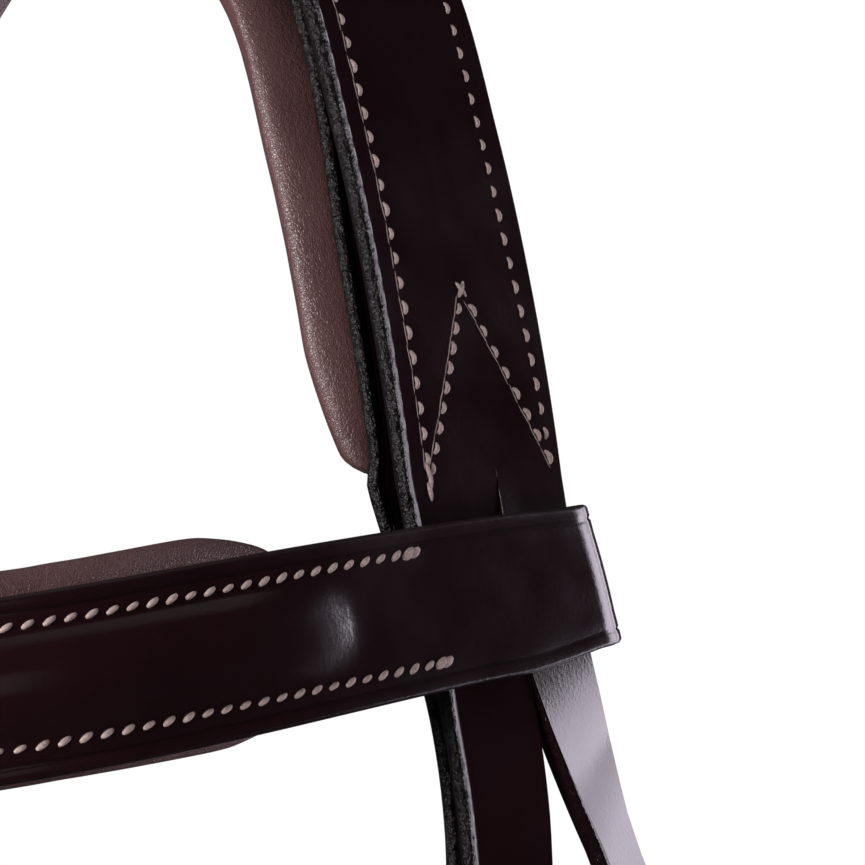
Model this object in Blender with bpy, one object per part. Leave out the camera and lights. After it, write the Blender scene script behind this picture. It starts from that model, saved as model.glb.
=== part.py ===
"""A figure eight bridle at full size, buckled up as it lies on a horse's head.

Metres, +Z up. The head points its nose straight down: -Y is the forehead, +Y the jaw and +X the near side.
The origin is on top of the poll, under the middle of the crown pad.
"""

import math

import bmesh
import bpy
from mathutils import Vector

# The head that the bridle is buckled to fit
HEAD_HALF_WIDTH = 0.100
HEAD_DEPTH = 0.140
HEAD_LENGTH = 0.500

# Clearances
GAP = 0.0003
PLAY = 0.0012
OVERRUN = 0.010

# Leather straps
STRAP_LEATHER = 0.003
LINING_LEATHER = 0.0012
BROW_LEATHER = 0.0022
NOSE_LEATHER = 0.0025
KEEPER_LEATHER = 0.0016
CROWN_FRONT = 0.0178
CROWN_REAR = 0.015
CHEEK_WIDTH = 0.016
THROAT_WIDTH = 0.013
NOSE_WIDTH = 0.0145
BROW_WIDTH = 0.025
LOOP_WIDTH = 0.0222
LOOP_REAR_WIDTH = 0.0202
LOOP_LEAN_SHARE = 0.15
LINING_MARGIN = 0.0004
STRAP_TIP = 0.012
KEEPER_WIDTH = 0.008
RUNNER_WIDTH = 0.007
HOLE_RADIUS = 0.0021
TIP_HOLE_PLACE = 0.0455

# Pads
CROWN_PAD_THICKNESS = 0.0105
CROWN_PAD_HALF_WIDTH = 0.0235
BROW_PAD_THICKNESS = 0.008
BROW_PAD_HALF_WIDTH = 0.0155
NOSE_PAD_THICKNESS = 0.012
NOSE_PAD_HALF_WIDTH = 0.029
NOSE_PAD_LENGTH = 0.082
BRIDGE_WIDTH = 0.020
BRIDGE_LENGTH = 0.050

# Buckles: single wires bent to a frame, with the strap turned round one side
BUCKLE_WIRE = 0.0015
BUCKLE_LENGTH = 0.015
BUCKLE_RISE = 0.003
BUCKLE_SIDE_ROOM = 0.0012
BUCKLE_CORNER = 0.0018
TONGUE_THICKNESS = 0.0016
TONGUE_WIDTH = 0.003
TONGUE_OVERHANG = 0.0022
FOLD_LEAD = 0.009
BIT_LEAD = 0.0135

# Rings and hook studs
RING_RADIUS = 0.0165
RING_WIRE = 0.00225
BIT_LOOP_RADIUS = 0.005
STUD_BASE = 0.0045
STUD_BASE_THICKNESS = 0.001
STUD_SHANK = 0.0018
STUD_HEAD_THICKNESS = 0.0022
STUD_HEAD_LENGTH = 0.011
STUD_HEAD_HALF_WIDTH = 0.0028
STUD_SLOT_HALF_LENGTH = 0.0045

# How far each doubled end and each buckled tip reaches from its bar
CHEEK_RETURN = 0.044
CHEEK_TIP = 0.062
SHORT_RETURN = 0.030
SHORT_TIP = 0.034
RING_RETURN = 0.018
BIT_RETURN = 0.044
STUD_PLACE = 0.026
KEEPER_PLACE = 0.0155
RUNNER_PLACE = 0.0325
SHORT_KEEPER_PLACE = 0.0145
SHORT_RUNNER_PLACE = 0.0265

# Where the bars lie, as shares of the length of the straight stretch that carries them
CHEEK_BAR_SHARE = 0.22
THROAT_BAR_SHARE = 0.30
SLIP_BAR_SHARE = 0.24
JAW_BAR_SHARE = 0.57
CHIN_BAR_SHARE = 0.66

# Fineness of curves
SPAN_SAMPLES = 16
STEP_BEND = math.radians(7)
STEP_LENGTH = 0.035
FOLD_STEPS = 7
HOLE_SIDES = 8
WIRE_SIDES = 6
CORNER_STEPS = 2
RING_STEPS = 24
STUD_SIDES = 10
TONGUE_STEPS = 8
TONGUE_WRAP = math.radians(256)
NOSE_PAD_STEPS = 16

# Layers through the crown, measured outwards from the middle of the headpiece leather
LINING_LEVEL = -(STRAP_LEATHER / 2 + GAP + LINING_LEATHER / 2)
SLIP_LEVEL = LINING_LEVEL - LINING_LEATHER / 2 - GAP - NOSE_LEATHER / 2
PAD_LEVEL = SLIP_LEVEL - NOSE_LEATHER / 2 - 2 * GAP
CROWN_RISE = CROWN_PAD_THICKNESS - PAD_LEVEL
CROSSING_LEVEL = NOSE_LEATHER / 2 + 2 * GAP

# Places along the straps: shares of half width, depth and length of the head, then where the outer face
# looks: its turn from +X towards +Y and its lift, both in degrees
CROWN_SHARES = (
    (-0.26, 0.0, -0.007, 180, 73),
    (0.0, 0.0, 0.0, 0, 90),
    (0.26, 0.0, -0.007, 0, 73),
    (0.50, 0.0, -0.030, 0, 56),
    (0.675, 0.0, -0.070, 0, 39),
    (0.775, 0.0, -0.120, 0, 21),
    (0.850, 0.0, -0.170, 0, 5),
    (0.910, 0.0, -0.225, 0, 0),
    (0.935, 0.0, -0.260, 0, 0),
)
CHEEK_SHARES = (
    (0.850, -0.050, -0.170, 0, 5),
    (0.910, -0.050, -0.225, 0, 0),
    (0.935, -0.050, -0.260, 0, 0),
    (0.960, -0.043, -0.290, -2, 0),
    (0.980, -0.032, -0.320, -3, 0),
    (0.990, -0.025, -0.350, -4, 0),
    (0.995, -0.0236, -0.380, -5, 0),
    (0.994, -0.0257, -0.410, -5, 0),
    (0.989, -0.0311, -0.440, -5, 0),
    (0.969, -0.0525, -0.560, -5, 0),
    (0.964, -0.0579, -0.590, -5, 0),
    (0.944, -0.0786, -0.644, -6, 0),
    (0.915, -0.1014, -0.690, -8, 0),
    (0.855, -0.1430, -0.744, -10, 0),
    (0.760, -0.2000, -0.812, -10, 0),
    (0.738, -0.2132, -0.828, -10, 0),
)
THROAT_SHARES = (
    (0.850, 0.064, -0.170, 0, 5),
    (0.910, 0.0607, -0.225, 0, 0),
    (0.926, 0.0621, -0.240, 3, 0),
    (0.938, 0.0664, -0.260, 3, 0),
    (0.962, 0.0860, -0.290, 9, 0),
    (0.985, 0.1393, -0.336, 27, 0),
    (0.990, 0.2210, -0.380, 24, 0),
    (0.970, 0.3430, -0.430, 24, 0),
    (0.952, 0.3814, -0.4414, 24, 0),
    (0.818, 0.6714, -0.5270, 24, 0),
    (0.799, 0.7125, -0.5391, 24, 0),
    (0.620, 0.9000, -0.578, 48, 0),
    (0.350, 1.0210, -0.600, 72, 0),
    (0.0, 1.0710, -0.608, 90, 0),
    (-0.350, 1.0210, -0.600, 108, 0),
)
SLIP_SHARES = (
    (0.946, 0.012, -0.378, 0, 0),
    (0.946, 0.066, -0.408, 0, 0),
    (0.942, 0.1286, -0.444, 0, 0),
    (0.936, 0.1355, -0.4599, 0, 0),
)
BROW_SHARES = (
    (0.975, 0.1130, -0.2546, 0, 8),
    (0.976, 0.0, -0.2566, 0, 8),
    (0.975, -0.121, -0.2598, -2, 8),
    (0.973, -0.250, -0.2638, -5, 7),
    (0.955, -0.393, -0.2690, -10, 5),
    (0.915, -0.536, -0.2746, -17, 3),
    (0.840, -0.671, -0.2800, -32, 0),
    (0.720, -0.793, -0.2840, -48, 0),
    (0.560, -0.886, -0.2872, -62, 0),
    (0.380, -0.943, -0.2892, -75, 0),
    (0.190, -0.979, -0.2904, -83, 0),
    (0.0, -0.989, -0.2910, -90, 0),
    (-0.190, -0.979, -0.2904, -97, 0),
)
CROSS_SHARES = (
    (0.852, -0.007, -0.6738, -2, -5),
    (0.835, -0.129, -0.680, -6, -3),
    (0.795, -0.286, -0.690, -14, 0),
    (0.690, -0.486, -0.704, -33, 0),
    (0.520, -0.650, -0.720, -58, 0),
    (0.280, -0.768, -0.737, -78, 0),
    (0.0, -0.814, -0.754, -90, 0),
    (-0.280, -0.768, -0.774, -104, 0),
    (-0.480, -0.650, -0.798, -135, 0),
    (-0.565, -0.521, -0.828, -170, 0),
    (-0.585, -0.414, -0.854, -195, 0),
    (-0.569, -0.3706, -0.8638, -195, 0),
    (-0.427, 0.0114, -0.9496, -195, 0),
    (-0.411, 0.0551, -0.9594, -199, 0),
    (-0.260, 0.1640, -0.984, -235, 0),
    (0.0, 0.2210, -0.994, -270, 0),
    (0.260, 0.1640, -0.984, -305, 0),
)
JAW_SHARES = (
    (0.832, 0.4570, -0.6713, 7, -5),
    (0.763, 0.8570, -0.6848, 7, -5),
    (0.752, 0.9050, -0.6864, 10, -4),
    (0.670, 0.9930, -0.690, 37, -2),
    (0.460, 1.0750, -0.694, 63, 0),
    (0.220, 1.1120, -0.696, 80, 0),
    (0.0, 1.1220, -0.697, 90, 0),
    (-0.220, 1.1120, -0.696, 100, 0),
)
RING_CENTRE_SHARES = (0.86, 0.2143, -0.664)
RING_FACE_LIFT = -5.5
CROWN_PAD_END_SHARE = 0.985
BROW_PAD_END_SHARE = 0.55

# How far the sliphead stands forward of the cheek billet's middle at each step below the poll, in its widths
SLIP_LEAD_SHARES = (0.17, 0.17, 0.12, 0.05, 0.0, 0.0, 0.0)

# Shapes as shares: a strap's tip (its width, its length), the leading of a strap over a fold, the band's loop
TIP_SHARES = ((1.0, 0.0), (0.55, 0.62), (0.2, 1.0))
FOLD_NECK_SHARE = 0.45
SHOULDER_SHARE = 0.6
BUCKLE_APPROACH_SHARE = 1.5
HOLE_CENTRE_SHARE = 0.41
HOLE_HALF_SHARE = 0.34
LOOP_CORNER_SHARE = 1.3
LOOP_SOFT_SHARE = 0.3
LOOP_TURN_SHARES = (0.7, 1.1)
LOOP_INNER_SHARES = (0.92, 1.06)
LOOP_RETURN_SHARES = (0.85, 1.1)
NOSE_PAD_ROUND_SHARE = 0.86
NOSE_PAD_THIN_SHARE = 0.45
BRIDGE_SHARES = (0.46, 0.72)

# Outlines of the pads' sections: shares of half width and of thickness, from the outer face inwards
CROWN_PAD_SHARES = (
    (-0.95, 0.22), (-0.66, 0.0), (0.03, 0.0), (0.10, -0.22), (0.62, -0.22), (0.90, 0.02), (1.0, 0.38),
    (0.88, 0.72), (0.46, 0.95), (0.0, 1.0), (-0.46, 0.95), (-0.88, 0.72), (-1.0, 0.46),
)
BROW_PAD_SHARES = (
    (-0.93, 0.22), (-0.72, 0.0), (0.0, 0.0), (0.72, 0.0), (0.93, 0.22), (1.0, 0.45),
    (0.80, 0.78), (0.36, 0.97), (-0.36, 0.97), (-0.80, 0.78), (-1.0, 0.45),
)
# How a pad narrows to its end: how far from the end, in half widths, then shares of width and thickness
PAD_END_SHARES = (
    (0.0, 0.34, 0.42), (0.10, 0.62, 0.70), (0.32, 0.84, 0.88), (0.70, 0.97, 0.98), (1.1, 1.0, 1.0),
)

# Finishes: colour, roughness, metallic
HAVANA = ((0.030, 0.014, 0.015, 1), 0.38, 0.0)
LINING_FINISH = ((0.055, 0.030, 0.026, 1), 0.5, 0.0)
NAPPA = ((0.080, 0.036, 0.034, 1), 0.6, 0.0)
STEEL = ((0.62, 0.61, 0.59, 1), 0.22, 1.0)

# Where a strap that comes in to a buckle leaves its run
BUCKLE_APPROACH = BUCKLE_LENGTH * BUCKLE_APPROACH_SHARE


class Place:
    """A spot with three directions: along a strap, across it, and out of its face."""

    def __init__(self, point, along, across, out):
        self.point, self.along, self.across, self.out = point, along, across, out

    def at(self, along, across, out):
        return self.point + self.along * along + self.across * across + self.out * out

    def mirrored(self):
        return Place(*(flipped(v) for v in (self.point, self.along, self.across, self.out)))

    def facing_back(self):
        return Place(self.point, -self.along, self.across, self.out)

    def raised(self, level):
        return Place(self.at(0, 0, level), self.along, self.across, self.out)


class Run:
    """A smooth line over the head through chosen places, with its outward direction all along."""

    def __init__(self, points, outs):
        lengths = [(b - a).length for a, b in zip(points, points[1:])]
        rates = slopes(points, lengths)
        self.points, self.outs = [], []
        for i, length in enumerate(lengths):
            for k in range(SPAN_SAMPLES):
                share = k / SPAN_SAMPLES
                self.points.append(hermite(points[i], points[i + 1], rates[i], rates[i + 1], length, share))
                self.outs.append(outs[i].lerp(outs[i + 1], share))
        self.points.append(points[-1].copy())
        self.outs.append(outs[-1].copy())
        self.lengths = [0.0]
        for a, b in zip(self.points, self.points[1:]):
            self.lengths.append(self.lengths[-1] + (b - a).length)
        self.marks = [self.lengths[i * SPAN_SAMPLES] for i in range(len(points))]

    def place(self, length):
        last = len(self.points) - 1
        i = max(k for k, s in enumerate(self.lengths[:-1]) if s <= length or k == 0)
        share = (length - self.lengths[i]) / (self.lengths[i + 1] - self.lengths[i])
        point = self.points[i].lerp(self.points[i + 1], share)
        before, after = self.heading(i), self.heading(min(i + 1, last))
        along = before.lerp(after, share).normalized()
        out = self.outs[i].lerp(self.outs[i + 1], share)
        out = (out - along * out.dot(along)).normalized()
        return Place(point, along, out.cross(along), out)

    def heading(self, i):
        last = len(self.points) - 1
        return (self.points[min(i + 1, last)] - self.points[max(i - 1, 0)]).normalized()

    def steps(self, first, last):
        """Lengths from first to last, either way, close together where the run bends or turns."""
        low, high = sorted((first, last))
        between = [s for s in self.lengths if low < s < high]
        chosen, since = [first], self.place(first)
        for s in between if first < last else reversed(between):
            here = self.place(s)
            turned = max(here.along.angle(since.along), here.out.angle(since.out))
            if turned > STEP_BEND or abs(s - chosen[-1]) > STEP_LENGTH:
                chosen.append(s)
                since = here
        if len(chosen) > 1 and abs(last - chosen[-1]) < KEEPER_LEATHER:
            chosen.pop()
        return chosen + [last]


def flipped(vector):
    return Vector((-vector.x, vector.y, vector.z))


def slopes(values, lengths):
    """The rate of change at each value, weighted so that uneven spacing never overshoots."""
    rates = [(values[1] - values[0]) / lengths[0]]
    for i in range(1, len(values) - 1):
        back = (values[i] - values[i - 1]) / lengths[i - 1]
        ahead = (values[i + 1] - values[i]) / lengths[i]
        rates.append((back * lengths[i] + ahead * lengths[i - 1]) / (lengths[i - 1] + lengths[i]))
    rates.append((values[-1] - values[-2]) / lengths[-1])
    return rates


def hermite(a, b, rate_a, rate_b, length, share):
    square, cube = share**2, share**3
    return (
        a * (2 * cube - 3 * square + 1)
        + rate_a * length * (cube - 2 * square + share)
        + b * (3 * square - 2 * cube)
        + rate_b * length * (cube - square)
    )


def smooth(share):
    share = min(max(share, 0.0), 1.0)
    return share * share * (3 - 2 * share)


def head_point(x_share, y_share, z_share):
    return Vector((x_share * HEAD_HALF_WIDTH, y_share * HEAD_DEPTH, z_share * HEAD_LENGTH + CROWN_RISE))


def facing(turn, lift):
    turn, lift = math.radians(turn), math.radians(lift)
    return Vector((math.cos(turn) * math.cos(lift), math.sin(turn) * math.cos(lift), math.sin(lift)))


def head_run(rows):
    return Run([head_point(*row[:3]) for row in rows], [facing(*row[3:]) for row in rows])


# Meshes
def ring_of(bm, points):
    return [bm.verts.new(p) for p in points]


def bridge(bm, ring_a, ring_b):
    count = len(ring_a)
    for i in range(count):
        k = (i + 1) % count
        bm.faces.new((ring_a[i], ring_a[k], ring_b[k], ring_b[i]))


def loft(bm, rings, closed=False):
    """Skins a row of rings, closed into a hoop or capped at both ends."""
    rings = [ring if isinstance(ring[0], bmesh.types.BMVert) else ring_of(bm, ring) for ring in rings]
    for a, b in zip(rings, rings[1:]):
        bridge(bm, a, b)
    if closed:
        bridge(bm, rings[-1], rings[0])
    else:
        bm.faces.new(rings[0])
        bm.faces.new(list(reversed(rings[-1])))
    return rings


def make(name, bm, finish, pivot=None):
    """Turns a bmesh into a named object with its own material, its origin on its pivot if it moves."""
    bmesh.ops.recalc_face_normals(bm, faces=bm.faces)
    mesh = bpy.data.meshes.new(name)
    if pivot is not None:
        bmesh.ops.translate(bm, verts=bm.verts, vec=-pivot)
    bm.to_mesh(mesh)
    bm.free()
    thing = bpy.data.objects.new(name, mesh)
    if pivot is not None:
        thing.location = pivot
    bpy.context.scene.collection.objects.link(thing)
    material = bpy.data.materials.new(name)
    material.use_nodes = True
    shader = material.node_tree.nodes["Principled BSDF"]
    colour, roughness, metallic = finish
    shader.inputs["Base Color"].default_value = colour
    shader.inputs["Roughness"].default_value = roughness
    shader.inputs["Metallic"].default_value = metallic
    mesh.materials.append(material)
    return thing


def prism(bm, place, half_along, half_across, depth):
    """An upright prism, round or stretched along its place, for punching through leather."""
    rings = []
    for out in (-depth, depth):
        points = []
        for i in range(HOLE_SIDES):
            angle = math.tau * (i + 0.5) / HOLE_SIDES
            along = math.cos(angle) * half_across
            along += math.copysign(half_along - half_across, along)
            points.append(place.at(along, math.sin(angle) * half_across, out))
        rings.append(points)
    loft(bm, rings)


def punch(thing, holes):
    """Cuts (place, half length, half width, depth each way) holes through a strap."""
    bm = bmesh.new()
    for hole in holes:
        prism(bm, *hole)
    cutter = make(thing.name + "_holes", bm, STEEL)
    cutter.hide_render = True
    cutter.display_type = "WIRE"
    cut = thing.modifiers.new("holes", "BOOLEAN")
    cut.operation = "DIFFERENCE"
    cut.solver = "EXACT"
    cut.object = cutter


# Straps: each is a list of (point, across, half width) from end to end
def strap(name, cuts, leather, finish=HAVANA, edge_share=0.0):
    """A strap of even thickness whose middle goes through the cuts, mitred at each bend."""
    bm = bmesh.new()
    rings, before = [], None
    for i, (point, across, half) in enumerate(cuts):
        back = point - cuts[i - 1][0] if i else None
        ahead = cuts[i + 1][0] - point if i + 1 < len(cuts) else None
        back, ahead = (back or ahead).normalized(), (ahead or back).normalized()
        along = (back + ahead).normalized()
        out = along.cross(across).normalized()
        if before is not None and out.dot(before) < 0:
            out = -out
        before = out
        out = out * (leather / 2 / max(math.cos(back.angle(ahead) / 2), 0.5))
        edge = edge_share * leather
        if edge_share:
            corners = (
                (-half, 1 - 2 * edge_share), (-half + edge, 1), (half - edge, 1), (half, 1 - 2 * edge_share),
                (half, 2 * edge_share - 1), (half - edge, -1),
                (-half + edge, -1), (-half, 2 * edge_share - 1),
            )
        else:
            corners = ((-half, 1), (half, 1), (half, -1), (-half, -1))
        rings.append([point + across * w + out * n for w, n in corners])
    loft(bm, rings)
    return make(name, bm, finish)


def lay(run, first, last, width, level=0.0, end_level=None, shift=0.0, end_shift=None):
    """Cuts along a run, at a level that may change smoothly, and so may the shift sideways."""
    end_level = level if end_level is None else end_level
    end_shift = shift if end_shift is None else end_shift
    cuts = []
    for s in run.steps(first, last):
        share = smooth((s - first) / (last - first))
        place = run.place(s)
        raised = level + (end_level - level) * share
        aside = shift + (end_shift - shift) * share
        cuts.append((place.at(0, aside, raised), place.across, width / 2))
    return cuts


def side_view(place, points, width):
    return [(place.at(along, 0, out), place.across, width / 2) for along, out in points]


def mirrored(cuts):
    return [(flipped(point), flipped(across), half) for point, across, half in cuts]


def tapered_tip(place, width, level, start, finish_at):
    """The last cuts of a strap's tip, from start to finish_at along its place."""
    tip = []
    for width_share, length_share in TIP_SHARES:
        along = start + (finish_at - start) * length_share
        tip.append((place.at(along, 0, level), place.across, width / 2 * width_share))
    return tip


def fold(spread, radius, reach=0.0, middle=0.0, lead=FOLD_LEAD):
    """Side view of leather turned round a bar, from the inner layer to the outer one."""
    neck = lead * FOLD_NECK_SHARE
    points = [(-lead, -spread), (-neck, -(spread + radius) / 2)]
    for i in range(FOLD_STEPS + 1):
        angle = math.pi * (i / FOLD_STEPS - 0.5)
        points.append((reach + radius * math.cos(angle), radius * math.sin(angle)))
    points += [(-neck, (spread + radius) / 2), (-lead, spread)]
    return [(along, out + middle) for along, out in points]


def spread_of(leather):
    """Level of each layer of a doubled strap, out from the line between them."""
    return (leather + 2 * GAP) / 2


def fold_radius(leather, bar):
    return bar + GAP + leather / 2


def over_chape(leather):
    """Level of a strap that lies on both layers of a turned end."""
    return spread_of(leather) + leather + GAP


def buckled_tip(leather, width, place, tip_reach):
    """Cuts of a strap that comes in under the buckle's outer bar, goes up over the fold and on to its tip."""
    under = BUCKLE_RISE - BUCKLE_WIRE - GAP - leather / 2
    top = 2 * (BUCKLE_WIRE + GAP + leather) + GAP / 2 - BUCKLE_WIRE - leather / 2 + GAP
    shoulder = fold_radius(leather, BUCKLE_WIRE) * SHOULDER_SHARE
    points = (
        (BUCKLE_LENGTH + BUCKLE_WIRE * 3, under),
        (BUCKLE_LENGTH - BUCKLE_WIRE, under),
        (shoulder, top),
        (-shoulder, top),
        (-FOLD_LEAD, over_chape(leather)),
    )
    tip_from = -(tip_reach - STRAP_TIP)
    tip = tapered_tip(place, width, over_chape(leather), tip_from, -tip_reach)
    return side_view(place, points, width) + tip


def tongue_hole(place, leather):
    """The slot in a buckled strap that its tongue stands in."""
    centre = place.at(BUCKLE_LENGTH * HOLE_CENTRE_SHARE, 0, leather)
    middle = Place(centre, place.along, place.across, place.out)
    return middle, BUCKLE_LENGTH * HOLE_HALF_SHARE, TONGUE_WIDTH / 2 + 2 * GAP, OVERRUN


def chape_slot(place, leather):
    """The slot in a turned end that the root of the tongue moves in."""
    radius = fold_radius(leather, BUCKLE_WIRE) + leather
    return place, radius + GAP, TONGUE_WIDTH / 2 + 2 * GAP, OVERRUN


# Metal and leather fittings
def wire_hoop(bm, corners, place, radius):
    """A closed wire through (along, across, out) points of a place."""
    points = [place.at(*corner) for corner in corners]
    rings = []
    for i, point in enumerate(points):
        back = (point - points[i - 1]).normalized()
        ahead = (points[(i + 1) % len(points)] - point).normalized()
        along = (back + ahead).normalized()
        side = place.out.cross(along).normalized()
        up = along.cross(side)
        widen = 1 / math.cos(back.angle(ahead) / 2)
        ring = []
        for k in range(WIRE_SIDES):
            angle = math.tau * (k + 0.5) / WIRE_SIDES
            ring.append(point + side * math.cos(angle) * radius * widen + up * math.sin(angle) * radius)
        rings.append(ring)
    loft(bm, rings, closed=True)


def buckle(name, place, width):
    half = width / 2 + BUCKLE_SIDE_ROOM + BUCKLE_WIRE
    corner = BUCKLE_CORNER
    corners = []
    for centre_along, centre_across, start in (
        (BUCKLE_LENGTH - corner, half - corner, 90),
        (BUCKLE_LENGTH - corner, corner - half, 0),
        (corner, corner - half, -90),
        (corner, half - corner, 180),
    ):
        for i in range(CORNER_STEPS + 1):
            angle = math.radians(start) - math.pi / 2 * i / CORNER_STEPS
            along = centre_along + corner * math.cos(angle)
            across = centre_across + corner * math.sin(angle)
            rise = BUCKLE_RISE * smooth((along - BUCKLE_WIRE) / (BUCKLE_LENGTH - 2 * BUCKLE_WIRE))
            corners.append((along, across, rise))
    bm = bmesh.new()
    wire_hoop(bm, corners, place, BUCKLE_WIRE)
    return make(name, bm, STEEL)


def tongue(name, place):
    """A flat wire wrapped round the bar, its point resting on the outer bar."""
    radius = BUCKLE_WIRE + GAP + TONGUE_THICKNESS / 2
    rest_along = BUCKLE_LENGTH
    rest_out = BUCKLE_RISE + BUCKLE_WIRE + GAP + TONGUE_THICKNESS / 2
    distance = math.hypot(rest_along, rest_out)
    start = math.atan2(rest_out, rest_along) + math.acos(radius / distance)
    root = (radius * math.cos(start), radius * math.sin(start))
    reach = 1 + TONGUE_OVERHANG / distance
    points = [(root[0] + (rest_along - root[0]) * reach, root[1] + (rest_out - root[1]) * reach)]
    for i in range(TONGUE_STEPS + 1):
        angle = start + TONGUE_WRAP * i / TONGUE_STEPS
        points.append((radius * math.cos(angle), radius * math.sin(angle)))
    cuts = [(place.at(along, 0, out), place.across, TONGUE_WIDTH / 2) for along, out in points]
    thing = strap(name, cuts, TONGUE_THICKNESS, STEEL)
    move_origin(thing, place.point)
    return thing


def move_origin(thing, pivot):
    for vertex in thing.data.vertices:
        vertex.co -= pivot
    thing.location = pivot


def keeper(name, place, width, low, high, centre, length, moves=False):
    """A leather band round the layers of a strap, from low to high out of its place."""
    half = width / 2 + GAP + KEEPER_LEATHER / 2
    bottom = low - GAP - KEEPER_LEATHER / 2
    top = high + GAP + KEEPER_LEATHER / 2
    bevel = KEEPER_LEATHER / 2
    path = (
        (-half + bevel, top), (half - bevel, top), (half, top - bevel), (half, bottom + bevel),
        (half - bevel, bottom), (-half + bevel, bottom), (-half, bottom + bevel), (-half, top - bevel),
    )
    bm = bmesh.new()
    rings = []
    for i, (across, out) in enumerate(path):
        back = Vector((across - path[i - 1][0], out - path[i - 1][1]))
        ahead = Vector((path[(i + 1) % 8][0] - across, path[(i + 1) % 8][1] - out))
        along = (back.normalized() + ahead.normalized()).normalized()
        thick = KEEPER_LEATHER / 2 / math.cos(math.pi / 8)
        aside = Vector((along.y, -along.x)) * thick
        ring = []
        for end, side in ((-1, -1), (1, -1), (1, 1), (-1, 1)):
            ring.append(place.at(centre + end * length / 2, across - aside.x * side, out - aside.y * side))
        rings.append(ring)
    loft(bm, rings, closed=True)
    pivot = place.at(centre, 0, (low + high) / 2) if moves else None
    return make(name, bm, HAVANA, pivot)


def buckle_set(name, place, width, leather, short=False):
    """Buckle, tongue, fixed keeper and runner on a turned end with a tip buckled over it."""
    buckle(name + "_buckle", place, width)
    tongue(name + "_buckle_tongue", place)
    low = -spread_of(leather) - leather / 2
    high = over_chape(leather) + leather / 2
    keeper_at, runner_at = (SHORT_KEEPER_PLACE, SHORT_RUNNER_PLACE) if short else (KEEPER_PLACE, RUNNER_PLACE)
    keeper(name + "_fixed_keeper", place, width, low, high, -keeper_at, KEEPER_WIDTH)
    keeper(name + "_runner", place, width, low, high, -runner_at, RUNNER_WIDTH, moves=True)


# Runs over the near side of the head
def bar_length(run, first_mark, share):
    return run.marks[first_mark] + (run.marks[first_mark + 1] - run.marks[first_mark]) * share


CROWN = head_run(CROWN_SHARES)
CROWN_TOP, CROWN_SPLIT = CROWN.marks[1], CROWN.marks[-2]
CROWN_STEPS = CROWN.steps(CROWN_TOP, CROWN_SPLIT)
CHEEK = head_run(CHEEK_SHARES)
SLIP_ASIDE = head_point(*CHEEK_SHARES[1][:3]).y
CHEEK_SPLIT, CHEEK_END = CHEEK.marks[1], CHEEK.marks[-2]
CHEEK_BAR = bar_length(CHEEK, 8, CHEEK_BAR_SHARE)
THROAT = head_run(THROAT_SHARES)
THROAT_SPLIT, THROAT_MIDDLE = THROAT.marks[1], THROAT.marks[-2]
THROAT_BAR = bar_length(THROAT, 8, THROAT_BAR_SHARE)
BROW = head_run(BROW_SHARES)
BROW_MIDDLE = BROW.marks[-2]
BROW_STEPS = BROW.steps(BROW.marks[1], BROW_MIDDLE)


def ring_place():
    centre = head_point(*RING_CENTRE_SHARES)
    out = facing(0, RING_FACE_LIFT)
    return Place(centre, Vector((0, 1, 0)), Vector((0, 1, 0)).cross(out), out)


def ring_side(target):
    """The place on the ring's wire that faces a target point; along leads to the ring's middle."""
    ring = ring_place()
    away = target - ring.point
    away = (away - ring.out * away.dot(ring.out)).normalized()
    return Place(ring.point + away * RING_RADIUS, -away, ring.out.cross(away), ring.out)


def from_ring(rows):
    """A run that starts on the ring's wire and leads on through the rows."""
    points = [head_point(*row[:3]) for row in rows]
    outs = [facing(*row[3:]) for row in rows]
    start = ring_side(points[0])
    return Run([start.point] + points, [start.out] + outs)


def slip_run():
    """The sliphead's line below the crown: under the cheek billet, then behind it down to the ring."""
    points, outs = [], []
    places = [(CROWN, CROWN_STEPS[-2], SLIP_ASIDE)]
    cheek_step = (CHEEK.marks[5] - CHEEK_SPLIT) / 5
    places += [(CHEEK, CHEEK_SPLIT + cheek_step * i, 0.0) for i in range(6)]
    for (run, s, aside), lead in zip(places, SLIP_LEAD_SHARES):
        place = run.place(s)
        points.append(place.at(0, aside - lead * NOSE_WIDTH, SLIP_LEVEL))
        outs.append(place.out)
    points += [head_point(*row[:3]) for row in SLIP_SHARES]
    outs += [facing(*row[3:]) for row in SLIP_SHARES]
    end = ring_side(points[-1])
    return Run(points + [end.point], outs + [end.out])


SLIP = slip_run()
SLIP_SPLIT, SLIP_END = SLIP.marks[1], SLIP.marks[-1]
SLIP_BAR = bar_length(SLIP, len(SLIP.marks) - 2, SLIP_BAR_SHARE)
CROSS = from_ring(CROSS_SHARES)
CROSS_BAR = bar_length(CROSS, len(CROSS.marks) - 6, CHIN_BAR_SHARE)
JAW = from_ring(JAW_SHARES)
JAW_BAR = bar_length(JAW, 1, JAW_BAR_SHARE)


def bar_place(run, length, towards):
    """The place of a buckle's bar; along points towards the strap that comes in."""
    place = run.place(length)
    return place if towards > 0 else place.facing_back()


CHEEK_BUCKLE = bar_place(CHEEK, CHEEK_BAR, -1)
THROAT_BUCKLE = bar_place(THROAT, THROAT_BAR, -1)
SLIP_BUCKLE = bar_place(SLIP, SLIP_BAR, -1)
JAW_BUCKLE = bar_place(JAW, JAW_BAR, 1)
CHIN_BUCKLE = bar_place(CROSS, CROSS_BAR, 1).mirrored()


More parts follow.
